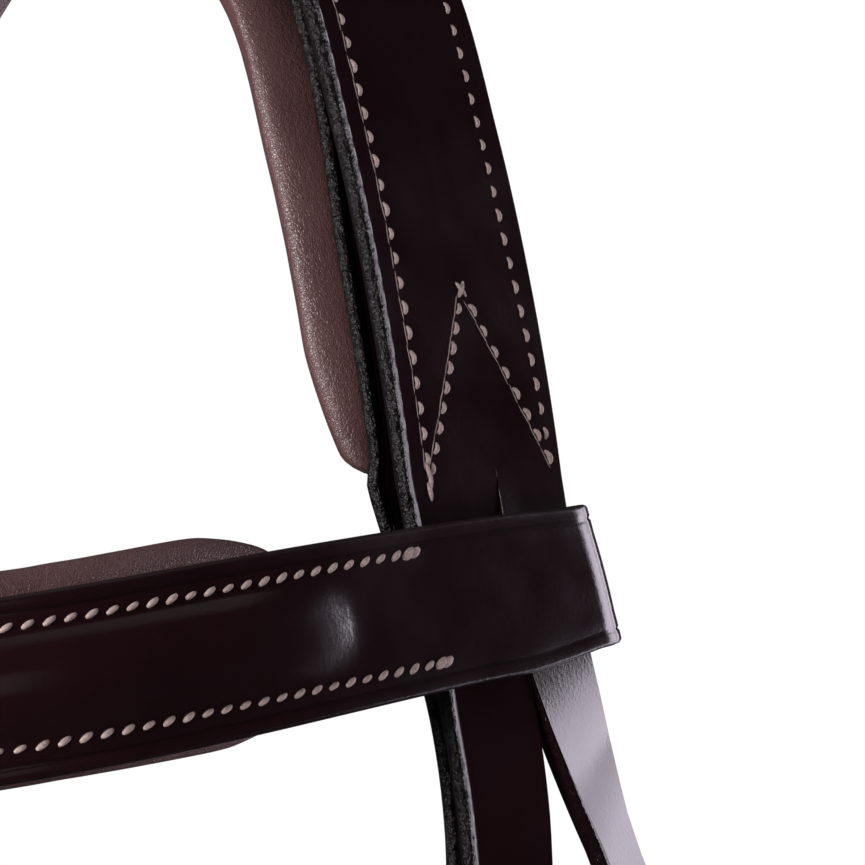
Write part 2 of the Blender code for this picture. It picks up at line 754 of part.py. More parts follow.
def chape(run, bar, side, leather, width, level_to, s_to, wire=BUCKLE_WIRE, back=None, reach=0.0):
    """Half of a turned strap: from s_to along the run to its bar, round it and back by its return."""
    spread = spread_of(leather)
    toward = 1 if s_to < bar else -1
    bend = run.place(bar) if toward > 0 else run.place(bar).facing_back()
    near, tip = bar - toward * FOLD_LEAD, bar - toward * back
    hold = tip - toward * FOLD_LEAD
    if abs(s_to - bar) > abs(hold - bar):
        main = lay(run, near, tip, width, -spread * side)[:-1]
        main += lay(run, tip, hold, width, -spread * side)[:-1]
        main += lay(run, hold, s_to, width, -spread * side, level_to)
    else:
        main = lay(run, near, s_to, width, -spread * side)
    turned = [(a, o * side) for a, o in fold(spread, fold_radius(leather, wire), reach)]
    again = lay(run, near, tip, width, spread * side)
    return list(reversed(main))[:-1] + side_view(bend, turned, width) + again[1:]


def ring_reach(width):
    """How far the ring's wire curves away across the width of a strap turned round it."""
    return RING_RADIUS - math.sqrt(RING_RADIUS**2 - (width / 2) ** 2) + GAP


# The pieces
def headpiece():
    """One strap over the poll, slit at each end into a cheek billet and a throat billet."""
    front, rear, thick = -CROWN_FRONT, CROWN_REAR, STRAP_LEATHER / 2
    slit = CHEEK_WIDTH - CROWN_REAR
    bm = bmesh.new()
    places = [CROWN.place(s).mirrored() for s in reversed(CROWN_STEPS[1:])]
    places += [CROWN.place(s) for s in CROWN_STEPS]
    rings = []
    for place in places:
        points = [place.at(0, w, n) for w, n in (
            (front, thick), (slit, thick), (rear, thick), (rear, -thick), (slit, -thick), (front, -thick))]
        rings.append(ring_of(bm, points))
    for a, b in zip(rings, rings[1:]):
        bridge(bm, a, b)
    cheek_from = CHEEK.steps(CHEEK_SPLIT, CHEEK_BAR - BUCKLE_APPROACH)
    throat_from = THROAT.steps(THROAT_SPLIT, THROAT_BAR - BUCKLE_APPROACH)
    for end, turn in ((rings[-1], lambda cuts: cuts), (rings[0], mirrored)):
        for run, steps, width, bar, reach, picks in (
            (CHEEK, cheek_from, CHEEK_WIDTH, CHEEK_BUCKLE, CHEEK_TIP, (0, 1, 4, 5)),
            (THROAT, throat_from, THROAT_WIDTH, THROAT_BUCKLE, CHEEK_TIP, (1, 2, 3, 4)),
        ):
            cuts = [(run.place(s).point, run.place(s).across, width / 2) for s in steps[1:-1]]
            cuts += buckled_tip(STRAP_LEATHER, width, bar, reach)
            tail = strap_rings(turn(cuts), STRAP_LEATHER, start=run.place(steps[0]).point)
            loft_tail(bm, [end[k] for k in picks], tail)
    return make("headpiece", bm, HAVANA)


def strap_rings(cuts, leather, start):
    """Plain four-cornered rings for the tail of a split strap."""
    rings, before = [], None
    start = start if cuts[0][0].x > 0 else flipped(start)
    for i, (point, across, half) in enumerate(cuts):
        back = (point - (cuts[i - 1][0] if i else start)).normalized()
        ahead = (cuts[i + 1][0] - point).normalized() if i + 1 < len(cuts) else back
        along = (back + ahead).normalized()
        out = along.cross(across).normalized()
        if out.dot(before or Vector((point.x, 0, 0))) < 0:
            out = -out
        before = out
        out = out * (leather / 2 / math.cos(back.angle(ahead) / 2))
        corners = ((-half, 1), (half, 1), (half, -1), (-half, -1))
        rings.append([point + across * w + out * n for w, n in corners])
    return rings


def loft_tail(bm, root, rings):
    grown = [root] + [ring_of(bm, ring) for ring in rings]
    for a, b in zip(grown, grown[1:]):
        bridge(bm, a, b)
    bm.faces.new(grown[-1])


def crown_cuts(width, level, aside, lead=0.0):
    """Cuts over the crown from one side to the other, coming forward by the lead, without the last step."""
    near = []
    for s in CROWN_STEPS[:-1]:
        place = CROWN.place(s)
        forward = aside - lead * smooth((s - CROWN_TOP) / (CROWN_STEPS[-2] - CROWN_TOP))
        near.append((place.at(0, forward, level), place.across, width / 2))
    return mirrored(reversed(near[1:])) + near


def lining():
    width = CROWN_FRONT + CROWN_REAR - 2 * LINING_MARGIN
    cuts = crown_cuts(width, LINING_LEVEL, (CROWN_REAR - CROWN_FRONT) / 2)
    return strap("headpiece_lining", cuts, LINING_LEATHER, LINING_FINISH)


def padded(name, places, section, half_width, thickness, finish):
    """A crowned pad under a line of places, drawn in at its sides and rounded off at both ends."""
    bm = bmesh.new()
    total = sum((b.point - a.point).length for a, b in zip(places, places[1:]))
    walked, rings = 0.0, []
    for i, place in enumerate(places):
        walked += (place.point - places[i - 1].point).length if i else 0.0
        from_end = min(walked, total - walked) / half_width
        width_share, thick_share = pad_end(from_end)
        rings.append([
            place.at(0, w * half_width * width_share, -n * thickness * (thick_share if n > 0 else 1.0))
            for w, n in section
        ])
    loft(bm, rings)
    return make(name, bm, finish)


def pad_end(distance):
    rows = PAD_END_SHARES
    for (d0, w0, t0), (d1, w1, t1) in zip(rows, rows[1:]):
        if distance <= d1:
            share = max(distance - d0, 0.0) / (d1 - d0)
            return w0 + (w1 - w0) * share, t0 + (t1 - t0) * share
    return 1.0, 1.0


def pad_places(run, steps, end, level, half_width):
    """Places at the steps, from the pad's end to the middle line, with more where the end rounds off."""
    lengths = [s for s in steps if abs(s - end) > half_width * PAD_END_SHARES[1][0]]
    toward = 1 if steps[-1] > end else -1
    for share, _, _ in PAD_END_SHARES:
        s = end + toward * share * half_width
        if min(abs(s - t) for t in lengths) > LINING_LEATHER:
            lengths.append(s)
    places = [run.place(s) for s in sorted(lengths, key=lambda s: abs(s - end))]
    return [p.raised(level) for p in places]


def both_sides(near):
    return near + [p.mirrored() for p in reversed(near[:-1])]


def crown_pad():
    end = CROWN_TOP + (CROWN_SPLIT - CROWN_TOP) * CROWN_PAD_END_SHARE
    steps = [s for s in reversed(CROWN_STEPS) if s < end]
    near = pad_places(CROWN, steps, end, PAD_LEVEL, CROWN_PAD_HALF_WIDTH)
    return padded("headpiece_pad", both_sides(near), CROWN_PAD_SHARES, CROWN_PAD_HALF_WIDTH,
                  CROWN_PAD_THICKNESS, NAPPA)


def browband():
    """The band across the forehead; each end goes round the billets and sliphead and back to the band."""
    loop_out, behind = BROW.marks[1], BROW.marks[3]
    base, rear = BROW.place(loop_out), BROW.place(BROW.marks[0])
    up = upright(base)
    rear_reach = (rear.point - base.point).length
    billet = CHEEK.place(CHEEK.marks[2]).point
    inner = (billet - base.point).dot(base.out) + SLIP_LEVEL - NOSE_LEATHER / 2 - PLAY - BROW_LEATHER / 2
    corner = BROW_LEATHER * LOOP_CORNER_SHARE
    soft = corner * LOOP_SOFT_SHARE
    turn, rearmost = LOOP_TURN_SHARES
    tail, last = LOOP_INNER_SHARES
    loop = [(rear_reach + corner * along, out) for along, out in (
        (0.0, 0.0), (turn, -soft), (rearmost, -corner), (rearmost, inner + corner), (turn, inner + soft),
        (0.0, inner))]
    loop += [(0.0, inner), (-CHEEK_WIDTH * tail, inner), (-CHEEK_WIDTH * last, inner + soft)]
    fall = (rear.point - base.point).dot(up)
    cuts = []
    for along, out in loop:
        half = LOOP_REAR_WIDTH / 2 if along > rear_reach / 2 else LOOP_WIDTH / 2
        raised = fall * along / rear_reach
        lean = up + base.along * LOOP_LEAN_SHARE if along > rear_reach / 2 else up
        cuts.append((base.at(-along, 0, out) + up * raised, lean, half))
    level = -(BROW_LEATHER + 2 * GAP)
    first, end = (behind * share for share in LOOP_RETURN_SHARES)
    for s in [s for s in BROW_STEPS if first < s < end]:
        place = BROW.place(s)
        cuts.append((place.at(0, 0, level), upright(place), LOOP_WIDTH / 2))
    band = []
    for s in BROW_STEPS:
        share = smooth((s - loop_out) / (behind - loop_out) * 0.5)
        place = BROW.place(s)
        half = (LOOP_WIDTH + (BROW_WIDTH - LOOP_WIDTH) * share) / 2
        band.append((place.point, upright(place), half))
    near = list(reversed(cuts)) + band
    return strap("browband", near + mirrored(reversed(near[:-1])), BROW_LEATHER)


def upright(place):
    return place.across if place.across.z > 0 else -place.across


def brow_pad():
    """The pad behind the band; it stops short of the loops."""
    level = -(BROW_LEATHER / 2 + 3 * GAP)
    end = BROW.marks[3] + (BROW.marks[4] - BROW.marks[3]) * BROW_PAD_END_SHARE
    steps = [s for s in BROW_STEPS if s > end]
    near = pad_places(BROW, steps, end, level, BROW_PAD_HALF_WIDTH)
    return padded("browband_pad", both_sides(near), BROW_PAD_SHARES, BROW_PAD_HALF_WIDTH,
                  BROW_PAD_THICKNESS, NAPPA)


def sliphead():
    """From its buckled tip on the near side, over the poll, to the far ring."""
    over = crown_cuts(NOSE_WIDTH, SLIP_LEVEL, SLIP_ASIDE, SLIP_LEAD_SHARES[0] * NOSE_WIDTH)
    near = lay(SLIP, SLIP_SPLIT, SLIP_BAR - BUCKLE_APPROACH, NOSE_WIDTH)[:-1]
    near += buckled_tip(NOSE_LEATHER, NOSE_WIDTH, SLIP_BUCKLE, SHORT_TIP)
    far = ring_end(SLIP, SLIP_END, SLIP_SPLIT, 0.0)
    strap("sliphead", mirrored(reversed(far)) + over + near, NOSE_LEATHER)
    punch(bpy.data.objects["sliphead"], [tongue_hole(SLIP_BUCKLE, NOSE_LEATHER)])


def ring_end(run, bar, s_to, level_to, side=1):
    return chape(run, bar, side, NOSE_LEATHER, NOSE_WIDTH, level_to, s_to, RING_WIRE + 2 * GAP, RING_RETURN,
                 ring_reach(NOSE_WIDTH))


def slip_cheek():
    """The near side piece between the sliphead's buckle and the ring."""
    middle, inner = (SLIP_BAR + SLIP_END) / 2, -spread_of(NOSE_LEATHER)
    top = chape(SLIP, SLIP_BAR, 1, NOSE_LEATHER, NOSE_WIDTH, inner, middle, back=SHORT_RETURN)
    low = ring_end(SLIP, SLIP_END, middle, inner)
    thing = strap("sliphead_cheek_near", list(reversed(top)) + low[1:], NOSE_LEATHER)
    punch(thing, [chape_slot(SLIP_BUCKLE, NOSE_LEATHER)])


def cheekpiece(side, turn):
    """Buckle end at the top; the low end goes round the bit ring and back over the hook stud."""
    stack = STUD_BASE_THICKNESS + 4 * GAP
    back_level = -(STRAP_LEATHER + stack)
    radius = BIT_LOOP_RADIUS + STRAP_LEATHER / 2
    top = chape(CHEEK, CHEEK_BAR, 1, STRAP_LEATHER, CHEEK_WIDTH, 0.0, CHEEK.marks[10], back=CHEEK_RETURN)
    body = list(reversed(top))
    body += lay(CHEEK, CHEEK.marks[10], CHEEK_END - BIT_LEAD, CHEEK_WIDTH)[1:]
    bend = CHEEK.place(CHEEK_END)
    turned = [(a, -o) for a, o in fold(-back_level / 2, radius, 0.0, -back_level / 2, BIT_LEAD)]
    body += side_view(bend, turned, CHEEK_WIDTH)[1:]
    last = CHEEK_END - BIT_RETURN
    back = lay(CHEEK, last + STRAP_TIP, CHEEK_END - BIT_LEAD, CHEEK_WIDTH, back_level)
    tip = CHEEK.place(last + STRAP_TIP).facing_back()
    body += list(reversed(back))[1:-1] + tapered_tip(tip, CHEEK_WIDTH, back_level, 0.0, STRAP_TIP)
    thing = strap("cheekpiece_" + side, turn(body), STRAP_LEATHER, edge_share=0.15)
    stud = CHEEK.place(CHEEK_END - STUD_PLACE)
    bar = CHEEK_BUCKLE
    if side == "off":
        stud, bar = stud.mirrored(), bar.mirrored()
    slot = (stud.raised(back_level), STUD_SLOT_HALF_LENGTH, STUD_SHANK + 2 * GAP, STRAP_LEATHER / 2 + 2 * GAP)
    punch(thing, [chape_slot(bar, STRAP_LEATHER), slot])
    hook_stud("hook_stud_" + side, stud, back_level)


def hook_stud(name, place, back_level):
    """A flat base against the cheekpiece, a shank through the returned end and a head that hooks it."""
    bm = bmesh.new()
    base_top = -STRAP_LEATHER / 2 - 2 * GAP
    base_low = base_top - STUD_BASE_THICKNESS
    head_top = back_level - STRAP_LEATHER / 2 - 2 * GAP
    profile = (
        (STUD_BASE, STUD_BASE, base_top), (STUD_BASE, STUD_BASE, base_low),
        (STUD_SHANK, STUD_SHANK, base_low), (STUD_SHANK, STUD_SHANK, head_top),
        (STUD_HEAD_LENGTH / 2, STUD_HEAD_HALF_WIDTH, head_top),
        (STUD_HEAD_LENGTH / 2, STUD_HEAD_HALF_WIDTH, head_top - STUD_HEAD_THICKNESS / 2),
        (STUD_HEAD_LENGTH / 3, STUD_HEAD_HALF_WIDTH / 2, head_top - STUD_HEAD_THICKNESS),
    )
    rings = []
    for half_along, half_across, out in profile:
        rings.append([
            place.at(half_along * math.cos(a), half_across * math.sin(a), out)
            for a in (math.tau * (i + 0.5) / STUD_SIDES for i in range(STUD_SIDES))
        ])
    loft(bm, rings)
    return make(name, bm, STEEL)


def throatlash():
    """Under the throat, with a turned end and a buckle at each side."""
    near = chape(THROAT, THROAT_BAR, 1, STRAP_LEATHER, THROAT_WIDTH, 0.0, THROAT_MIDDLE, back=CHEEK_RETURN)
    thing = strap("throatlash", list(reversed(near)) + mirrored(near)[1:], STRAP_LEATHER)
    holes = [chape_slot(place, STRAP_LEATHER) for place in (THROAT_BUCKLE, THROAT_BUCKLE.mirrored())]
    punch(thing, holes)


def noseband_ring(side):
    place = ring_place() if side == "near" else ring_place().mirrored()
    bm = bmesh.new()
    corners = []
    for i in range(RING_STEPS):
        angle = math.tau * i / RING_STEPS
        corners.append((RING_RADIUS * math.cos(angle), RING_RADIUS * math.sin(angle), 0.0))
    wire_hoop(bm, corners, place, RING_WIRE)
    thing = make("noseband_ring_" + side, bm, STEEL)
    move_origin(thing, place.point)


def cross_straps():
    """Two straps from the rings over the nose to the chin groove; the near ring's lies on top."""
    spread = CROSSING_LEVEL
    crossing = CROSS.marks[7]
    middle = CROSS.marks[-2]
    upper = list(reversed(ring_end(CROSS, CROSS.marks[0], crossing, spread, -1)))
    over = lay(CROSS, crossing, middle, NOSE_WIDTH, spread, 0.0)
    tip_side = lay(CROSS, CROSS_BAR + BUCKLE_APPROACH, middle, NOSE_WIDTH)
    tip_side = mirrored(reversed(tip_side))
    tip = buckled_tip(NOSE_LEATHER, NOSE_WIDTH, CHIN_BUCKLE, SHORT_TIP)
    top = upper + over[1:] + tip_side[1:-1] + tip
    thing = strap("cross_strap_near", top, NOSE_LEATHER)
    punch(thing, [tongue_hole(CHIN_BUCKLE, NOSE_LEATHER)])
    upper = list(reversed(ring_end(CROSS, CROSS.marks[0], crossing, -spread)))
    lower = chape(CROSS, CROSS_BAR, 1, NOSE_LEATHER, NOSE_WIDTH, -spread, crossing, back=SHORT_RETURN)
    under = mirrored(upper + lower[1:])
    thing = strap("cross_strap_off", under, NOSE_LEATHER)
    punch(thing, [chape_slot(CHIN_BUCKLE, NOSE_LEATHER)])


def crossing_place():
    """The middle of the crossing: along leads down the nose."""
    centre = head_point(0.0, CROSS_SHARES[6][1], CROSS_SHARES[6][2])
    return Place(centre, Vector((0, 0, -1)), Vector((1, 0, 0)), Vector((0, -1, 0)))


def nose_pad():
    """A crowned oval pad, bent round the nose, under the crossing."""
    level = -(CROSSING_LEVEL + NOSE_LEATHER / 2 + 2 * GAP)
    bm = bmesh.new()
    rings = []
    for i in range(NOSE_PAD_STEPS + 1):
        share = 2 * i / NOSE_PAD_STEPS - 1
        place = CROSS.place(CROSS.marks[7] + share * NOSE_PAD_LENGTH / 2)
        level_place = CROSS.place(CROSS.marks[7] - share * NOSE_PAD_LENGTH / 2).mirrored()
        point = (place.point + level_place.point) / 2
        out = (place.out + level_place.out).normalized()
        width = NOSE_PAD_HALF_WIDTH * math.sqrt(1 - NOSE_PAD_ROUND_SHARE * abs(share) ** 3)
        thick = NOSE_PAD_THICKNESS * (1 - NOSE_PAD_THIN_SHARE * abs(share) ** 3)
        up = Vector((0, 0, 1))
        rings.append([point + up * w * width + out * (level - n * thick) for w, n in BROW_PAD_SHARES])
    loft(bm, rings)
    return make("nose_pad", bm, NAPPA)


def bridge_over_crossing():
    """The leather that holds the crossing to the pad: over both straps, and down to the pad at each end."""
    over = CROSSING_LEVEL + NOSE_LEATHER / 2 + 2 * GAP + BROW_LEATHER / 2
    down = -(CROSSING_LEVEL + NOSE_LEATHER / 2) + BROW_LEATHER / 2
    place, top, foot = crossing_place(), *BRIDGE_SHARES
    cuts = []
    for share, level in ((-1.0, down), (-foot, down), (-top, over), (top, over), (foot, down), (1.0, down)):
        cuts.append((place.at(BRIDGE_LENGTH / 2 * share, 0, level), place.across, BRIDGE_WIDTH / 2))
    return strap("nose_bridge", cuts, BROW_LEATHER)


def jaw_straps():
    """Behind the jaw: the near strap carries the buckle, the far one comes round to it."""
    middle, inner = (JAW.marks[0] + JAW_BAR) / 2, -spread_of(NOSE_LEATHER)
    ring = ring_end(JAW, JAW.marks[0], middle, inner)
    bar = chape(JAW, JAW_BAR, 1, NOSE_LEATHER, NOSE_WIDTH, inner, middle, back=SHORT_RETURN)
    thing = strap("jaw_strap_near", list(reversed(ring)) + bar[1:], NOSE_LEATHER)
    punch(thing, [chape_slot(JAW_BUCKLE, NOSE_LEATHER)])
    far = mirrored(ring_end(JAW, JAW.marks[0], JAW.marks[-2], 0.0))
    near = lay(JAW, JAW_BAR + BUCKLE_APPROACH, JAW.marks[-2], NOSE_WIDTH)
    tip = buckled_tip(NOSE_LEATHER, NOSE_WIDTH, JAW_BUCKLE, SHORT_TIP)
    cuts = list(reversed(far)) + list(reversed(near))[1:-1] + tip
    thing = strap("jaw_strap_off", cuts, NOSE_LEATHER)
    punch(thing, [tongue_hole(JAW_BUCKLE, NOSE_LEATHER)])


def head_holes():
    """The slots that the tongues stand in, and the spare holes of the billets."""
    holes = []
    for run, bar, start in ((CHEEK, CHEEK_BUCKLE, CHEEK_BAR), (THROAT, THROAT_BUCKLE, THROAT_BAR)):
        for place in (bar, bar.mirrored()):
            holes.append(tongue_hole(place, STRAP_LEATHER))
        tip = run.place(start + TIP_HOLE_PLACE).raised(over_chape(STRAP_LEATHER))
        for place in (tip, tip.mirrored()):
            holes.append((place, HOLE_RADIUS, HOLE_RADIUS, OVERRUN))
    return holes


def build():
    for thing in list(bpy.data.objects):
        bpy.data.objects.remove(thing)
    punch(headpiece(), head_holes())
    lining()
    crown_pad()
    browband()
    brow_pad()
    sliphead()
    slip_cheek()
    for side, turn in (("near", list), ("off", mirrored)):
        cheekpiece(side, turn)
        noseband_ring(side)
    throatlash()
    cross_straps()
    nose_pad()
    bridge_over_crossing()
    jaw_straps()
    for side in ("near", "off"):
        flip = (lambda p: p) if side == "near" else (lambda p: p.mirrored())
        buckle_set("cheek_" + side, flip(CHEEK_BUCKLE), CHEEK_WIDTH, STRAP_LEATHER)
        buckle_set("throat_" + side, flip(THROAT_BUCKLE), THROAT_WIDTH, STRAP_LEATHER)
    buckle_set("sliphead", SLIP_BUCKLE, NOSE_WIDTH, NOSE_LEATHER, short=True)
    buckle_set("jaw", JAW_BUCKLE, NOSE_WIDTH, NOSE_LEATHER, short=True)
    buckle_set("chin", CHIN_BUCKLE, NOSE_WIDTH, NOSE_LEATHER, short=True)


build()
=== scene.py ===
"""The figure eight bridle's looks: stitched straps, plump pads, buckles and rings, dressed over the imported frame.

Metres, +Z up, in the frame's own axes. The head that wears it points its nose straight down.
"""

import math

import bmesh
import bpy
from mathutils import Matrix, Vector
from mathutils.bvhtree import BVHTree


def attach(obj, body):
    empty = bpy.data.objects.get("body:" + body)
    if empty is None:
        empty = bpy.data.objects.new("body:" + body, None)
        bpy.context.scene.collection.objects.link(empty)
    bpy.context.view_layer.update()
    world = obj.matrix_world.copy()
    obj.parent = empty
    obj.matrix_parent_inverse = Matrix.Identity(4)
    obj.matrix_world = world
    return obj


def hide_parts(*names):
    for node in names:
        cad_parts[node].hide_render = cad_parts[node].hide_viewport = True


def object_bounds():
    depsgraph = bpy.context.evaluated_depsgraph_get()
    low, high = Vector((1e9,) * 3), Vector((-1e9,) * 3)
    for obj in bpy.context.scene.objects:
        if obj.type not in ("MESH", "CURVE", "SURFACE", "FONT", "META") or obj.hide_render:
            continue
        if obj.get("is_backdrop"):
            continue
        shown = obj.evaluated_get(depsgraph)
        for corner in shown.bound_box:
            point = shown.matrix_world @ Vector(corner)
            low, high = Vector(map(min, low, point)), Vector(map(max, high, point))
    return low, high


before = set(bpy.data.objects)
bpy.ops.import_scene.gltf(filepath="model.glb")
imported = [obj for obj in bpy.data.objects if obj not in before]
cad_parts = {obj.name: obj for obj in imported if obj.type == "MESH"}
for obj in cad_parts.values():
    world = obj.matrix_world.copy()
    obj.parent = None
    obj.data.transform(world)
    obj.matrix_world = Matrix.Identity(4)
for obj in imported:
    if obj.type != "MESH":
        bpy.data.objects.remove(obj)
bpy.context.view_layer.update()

# The head that the bridle is buckled to fit
HEAD_HALF_WIDTH = 0.100
HEAD_DEPTH = 0.140
HEAD_LENGTH = 0.500

# Clearances
GAP = 0.0003
PLAY = 0.0012
OVERRUN = 0.010

# Leather straps
STRAP_LEATHER = 0.003
LINING_LEATHER = 0.0012
BROW_LEATHER = 0.0022
NOSE_LEATHER = 0.0025
KEEPER_LEATHER = 0.0016
CROWN_FRONT = 0.0178
CROWN_REAR = 0.015
CHEEK_WIDTH = 0.016
THROAT_WIDTH = 0.013
NOSE_WIDTH = 0.0145
BROW_WIDTH = 0.025
LOOP_WIDTH = 0.0222
LOOP_REAR_WIDTH = 0.0202
LOOP_LEAN_SHARE = 0.15
LINING_MARGIN = 0.0004
STRAP_TIP = 0.012
KEEPER_WIDTH = 0.008
RUNNER_WIDTH = 0.007
HOLE_RADIUS = 0.0021
TIP_HOLE_PLACE = 0.0455

# Pads
CROWN_PAD_THICKNESS = 0.0105
CROWN_PAD_HALF_WIDTH = 0.0235
BROW_PAD_THICKNESS = 0.008
BROW_PAD_HALF_WIDTH = 0.0155
NOSE_PAD_THICKNESS = 0.012
NOSE_PAD_HALF_WIDTH = 0.029
NOSE_PAD_LENGTH = 0.082
BRIDGE_WIDTH = 0.020
BRIDGE_LENGTH = 0.050

# Buckles: single wires bent to a frame, with the strap turned round one side
BUCKLE_WIRE = 0.0015
BUCKLE_LENGTH = 0.015
BUCKLE_RISE = 0.003
BUCKLE_SIDE_ROOM = 0.0012
BUCKLE_CORNER = 0.0018
TONGUE_THICKNESS = 0.0016
TONGUE_WIDTH = 0.003
TONGUE_OVERHANG = 0.0022
FOLD_LEAD = 0.009
BIT_LEAD = 0.0135

# Rings and hook studs
RING_RADIUS = 0.0165
RING_WIRE = 0.00225
BIT_LOOP_RADIUS = 0.005
STUD_BASE = 0.0045
STUD_BASE_THICKNESS = 0.001
STUD_SHANK = 0.0018
STUD_HEAD_THICKNESS = 0.0022
STUD_HEAD_LENGTH = 0.011
STUD_HEAD_HALF_WIDTH = 0.0028
STUD_SLOT_HALF_LENGTH = 0.0045

# How far each doubled end and each buckled tip reaches from its bar
CHEEK_RETURN = 0.044
CHEEK_TIP = 0.062
SHORT_RETURN = 0.030
SHORT_TIP = 0.034
RING_RETURN = 0.018
BIT_RETURN = 0.044
STUD_PLACE = 0.026
KEEPER_PLACE = 0.0155
RUNNER_PLACE = 0.0325
SHORT_KEEPER_PLACE = 0.0145
SHORT_RUNNER_PLACE = 0.0265

# Where the bars lie, as shares of the length of the straight stretch that carries them
CHEEK_BAR_SHARE = 0.22
THROAT_BAR_SHARE = 0.30
SLIP_BAR_SHARE = 0.24
JAW_BAR_SHARE = 0.57
CHIN_BAR_SHARE = 0.66

# Fineness of curves
SPAN_SAMPLES = 20
STEP_BEND = math.radians(3)
STEP_LENGTH = 0.008
FOLD_STEPS = 10
HOLE_SIDES = 20
WIRE_SIDES = 14
CORNER_STEPS = 6
RING_STEPS = 96
STUD_SIDES = 28
TONGUE_STEPS = 22
TONGUE_WRAP = math.radians(256)
NOSE_PAD_STEPS = 44

# Layers through the crown, measured outwards from the middle of the headpiece leather
LINING_LEVEL = -(STRAP_LEATHER / 2 + GAP + LINING_LEATHER / 2)
SLIP_LEVEL = LINING_LEVEL - LINING_LEATHER / 2 - GAP - NOSE_LEATHER / 2
PAD_LEVEL = SLIP_LEVEL - NOSE_LEATHER / 2 - 2 * GAP
CROWN_RISE = CROWN_PAD_THICKNESS - PAD_LEVEL
CROSSING_LEVEL = NOSE_LEATHER / 2 + 2 * GAP

# Places along the straps: shares of half width, depth and length of the head, then where the outer face
# looks: its turn from +X towards +Y and its lift, both in degrees
CROWN_SHARES = (
    (-0.26, 0.0, -0.007, 180, 73),
    (0.0, 0.0, 0.0, 0, 90),
    (0.26, 0.0, -0.007, 0, 73),
    (0.50, 0.0, -0.030, 0, 56),
    (0.675, 0.0, -0.070, 0, 39),
    (0.775, 0.0, -0.120, 0, 21),
    (0.850, 0.0, -0.170, 0, 5),
    (0.910, 0.0, -0.225, 0, 0),
    (0.935, 0.0, -0.260, 0, 0),
)
CHEEK_SHARES = (
    (0.850, -0.050, -0.170, 0, 5),
    (0.910, -0.050, -0.225, 0, 0),
    (0.935, -0.050, -0.260, 0, 0),
    (0.960, -0.043, -0.290, -2, 0),
    (0.980, -0.032, -0.320, -3, 0),
    (0.990, -0.025, -0.350, -4, 0),
    (0.995, -0.0236, -0.380, -5, 0),
    (0.994, -0.0257, -0.410, -5, 0),
    (0.989, -0.0311, -0.440, -5, 0),
    (0.969, -0.0525, -0.560, -5, 0),
    (0.964, -0.0579, -0.590, -5, 0),
    (0.944, -0.0786, -0.644, -6, 0),
    (0.915, -0.1014, -0.690, -8, 0),
    (0.855, -0.1430, -0.744, -10, 0),
    (0.760, -0.2000, -0.812, -10, 0),
    (0.738, -0.2132, -0.828, -10, 0),
)
THROAT_SHARES = (
    (0.850, 0.064, -0.170, 0, 5),
    (0.910, 0.0607, -0.225, 0, 0),
    (0.926, 0.0621, -0.240, 3, 0),
    (0.938, 0.0664, -0.260, 3, 0),
    (0.962, 0.0860, -0.290, 9, 0),
    (0.985, 0.1393, -0.336, 27, 0),
    (0.990, 0.2210, -0.380, 24, 0),
    (0.970, 0.3430, -0.430, 24, 0),
    (0.952, 0.3814, -0.4414, 24, 0),
    (0.818, 0.6714, -0.5270, 24, 0),
    (0.799, 0.7125, -0.5391, 24, 0),
    (0.620, 0.9000, -0.578, 48, 0),
    (0.350, 1.0210, -0.600, 72, 0),
    (0.0, 1.0710, -0.608, 90, 0),
    (-0.350, 1.0210, -0.600, 108, 0),
)
SLIP_SHARES = (
    (0.946, 0.012, -0.378, 0, 0),
    (0.946, 0.066, -0.408, 0, 0),
    (0.942, 0.1286, -0.444, 0, 0),
    (0.936, 0.1355, -0.4599, 0, 0),
)
BROW_SHARES = (
    (0.975, 0.1130, -0.2546, 0, 8),
    (0.976, 0.0, -0.2566, 0, 8),
    (0.975, -0.121, -0.2598, -2, 8),
    (0.973, -0.250, -0.2638, -5, 7),
    (0.955, -0.393, -0.2690, -10, 5),
    (0.915, -0.536, -0.2746, -17, 3),
    (0.840, -0.671, -0.2800, -32, 0),
    (0.720, -0.793, -0.2840, -48, 0),
    (0.560, -0.886, -0.2872, -62, 0),
    (0.380, -0.943, -0.2892, -75, 0),
    (0.190, -0.979, -0.2904, -83, 0),
    (0.0, -0.989, -0.2910, -90, 0),
    (-0.190, -0.979, -0.2904, -97, 0),
)
CROSS_SHARES = (
    (0.852, -0.007, -0.6738, -2, -5),
    (0.835, -0.129, -0.680, -6, -3),
    (0.795, -0.286, -0.690, -14, 0),
    (0.690, -0.486, -0.704, -33, 0),
    (0.520, -0.650, -0.720, -58, 0),
    (0.280, -0.768, -0.737, -78, 0),
    (0.0, -0.814, -0.754, -90, 0),
    (-0.280, -0.768, -0.774, -104, 0),
    (-0.480, -0.650, -0.798, -135, 0),
    (-0.565, -0.521, -0.828, -170, 0),
    (-0.585, -0.414, -0.854, -195, 0),
    (-0.569, -0.3706, -0.8638, -195, 0),
    (-0.427, 0.0114, -0.9496, -195, 0),
    (-0.411, 0.0551, -0.9594, -199, 0),
    (-0.260, 0.1640, -0.984, -235, 0),
    (0.0, 0.2210, -0.994, -270, 0),
    (0.260, 0.1640, -0.984, -305, 0),
)
JAW_SHARES = (
    (0.832, 0.4570, -0.6713, 7, -5),
    (0.763, 0.8570, -0.6848, 7, -5),
    (0.752, 0.9050, -0.6864, 10, -4),
    (0.670, 0.9930, -0.690, 37, -2),
    (0.460, 1.0750, -0.694, 63, 0),
    (0.220, 1.1120, -0.696, 80, 0),
    (0.0, 1.1220, -0.697, 90, 0),
    (-0.220, 1.1120, -0.696, 100, 0),
)
RING_CENTRE_SHARES = (0.86, 0.2143, -0.664)
RING_FACE_LIFT = -5.5
CROWN_PAD_END_SHARE = 0.985

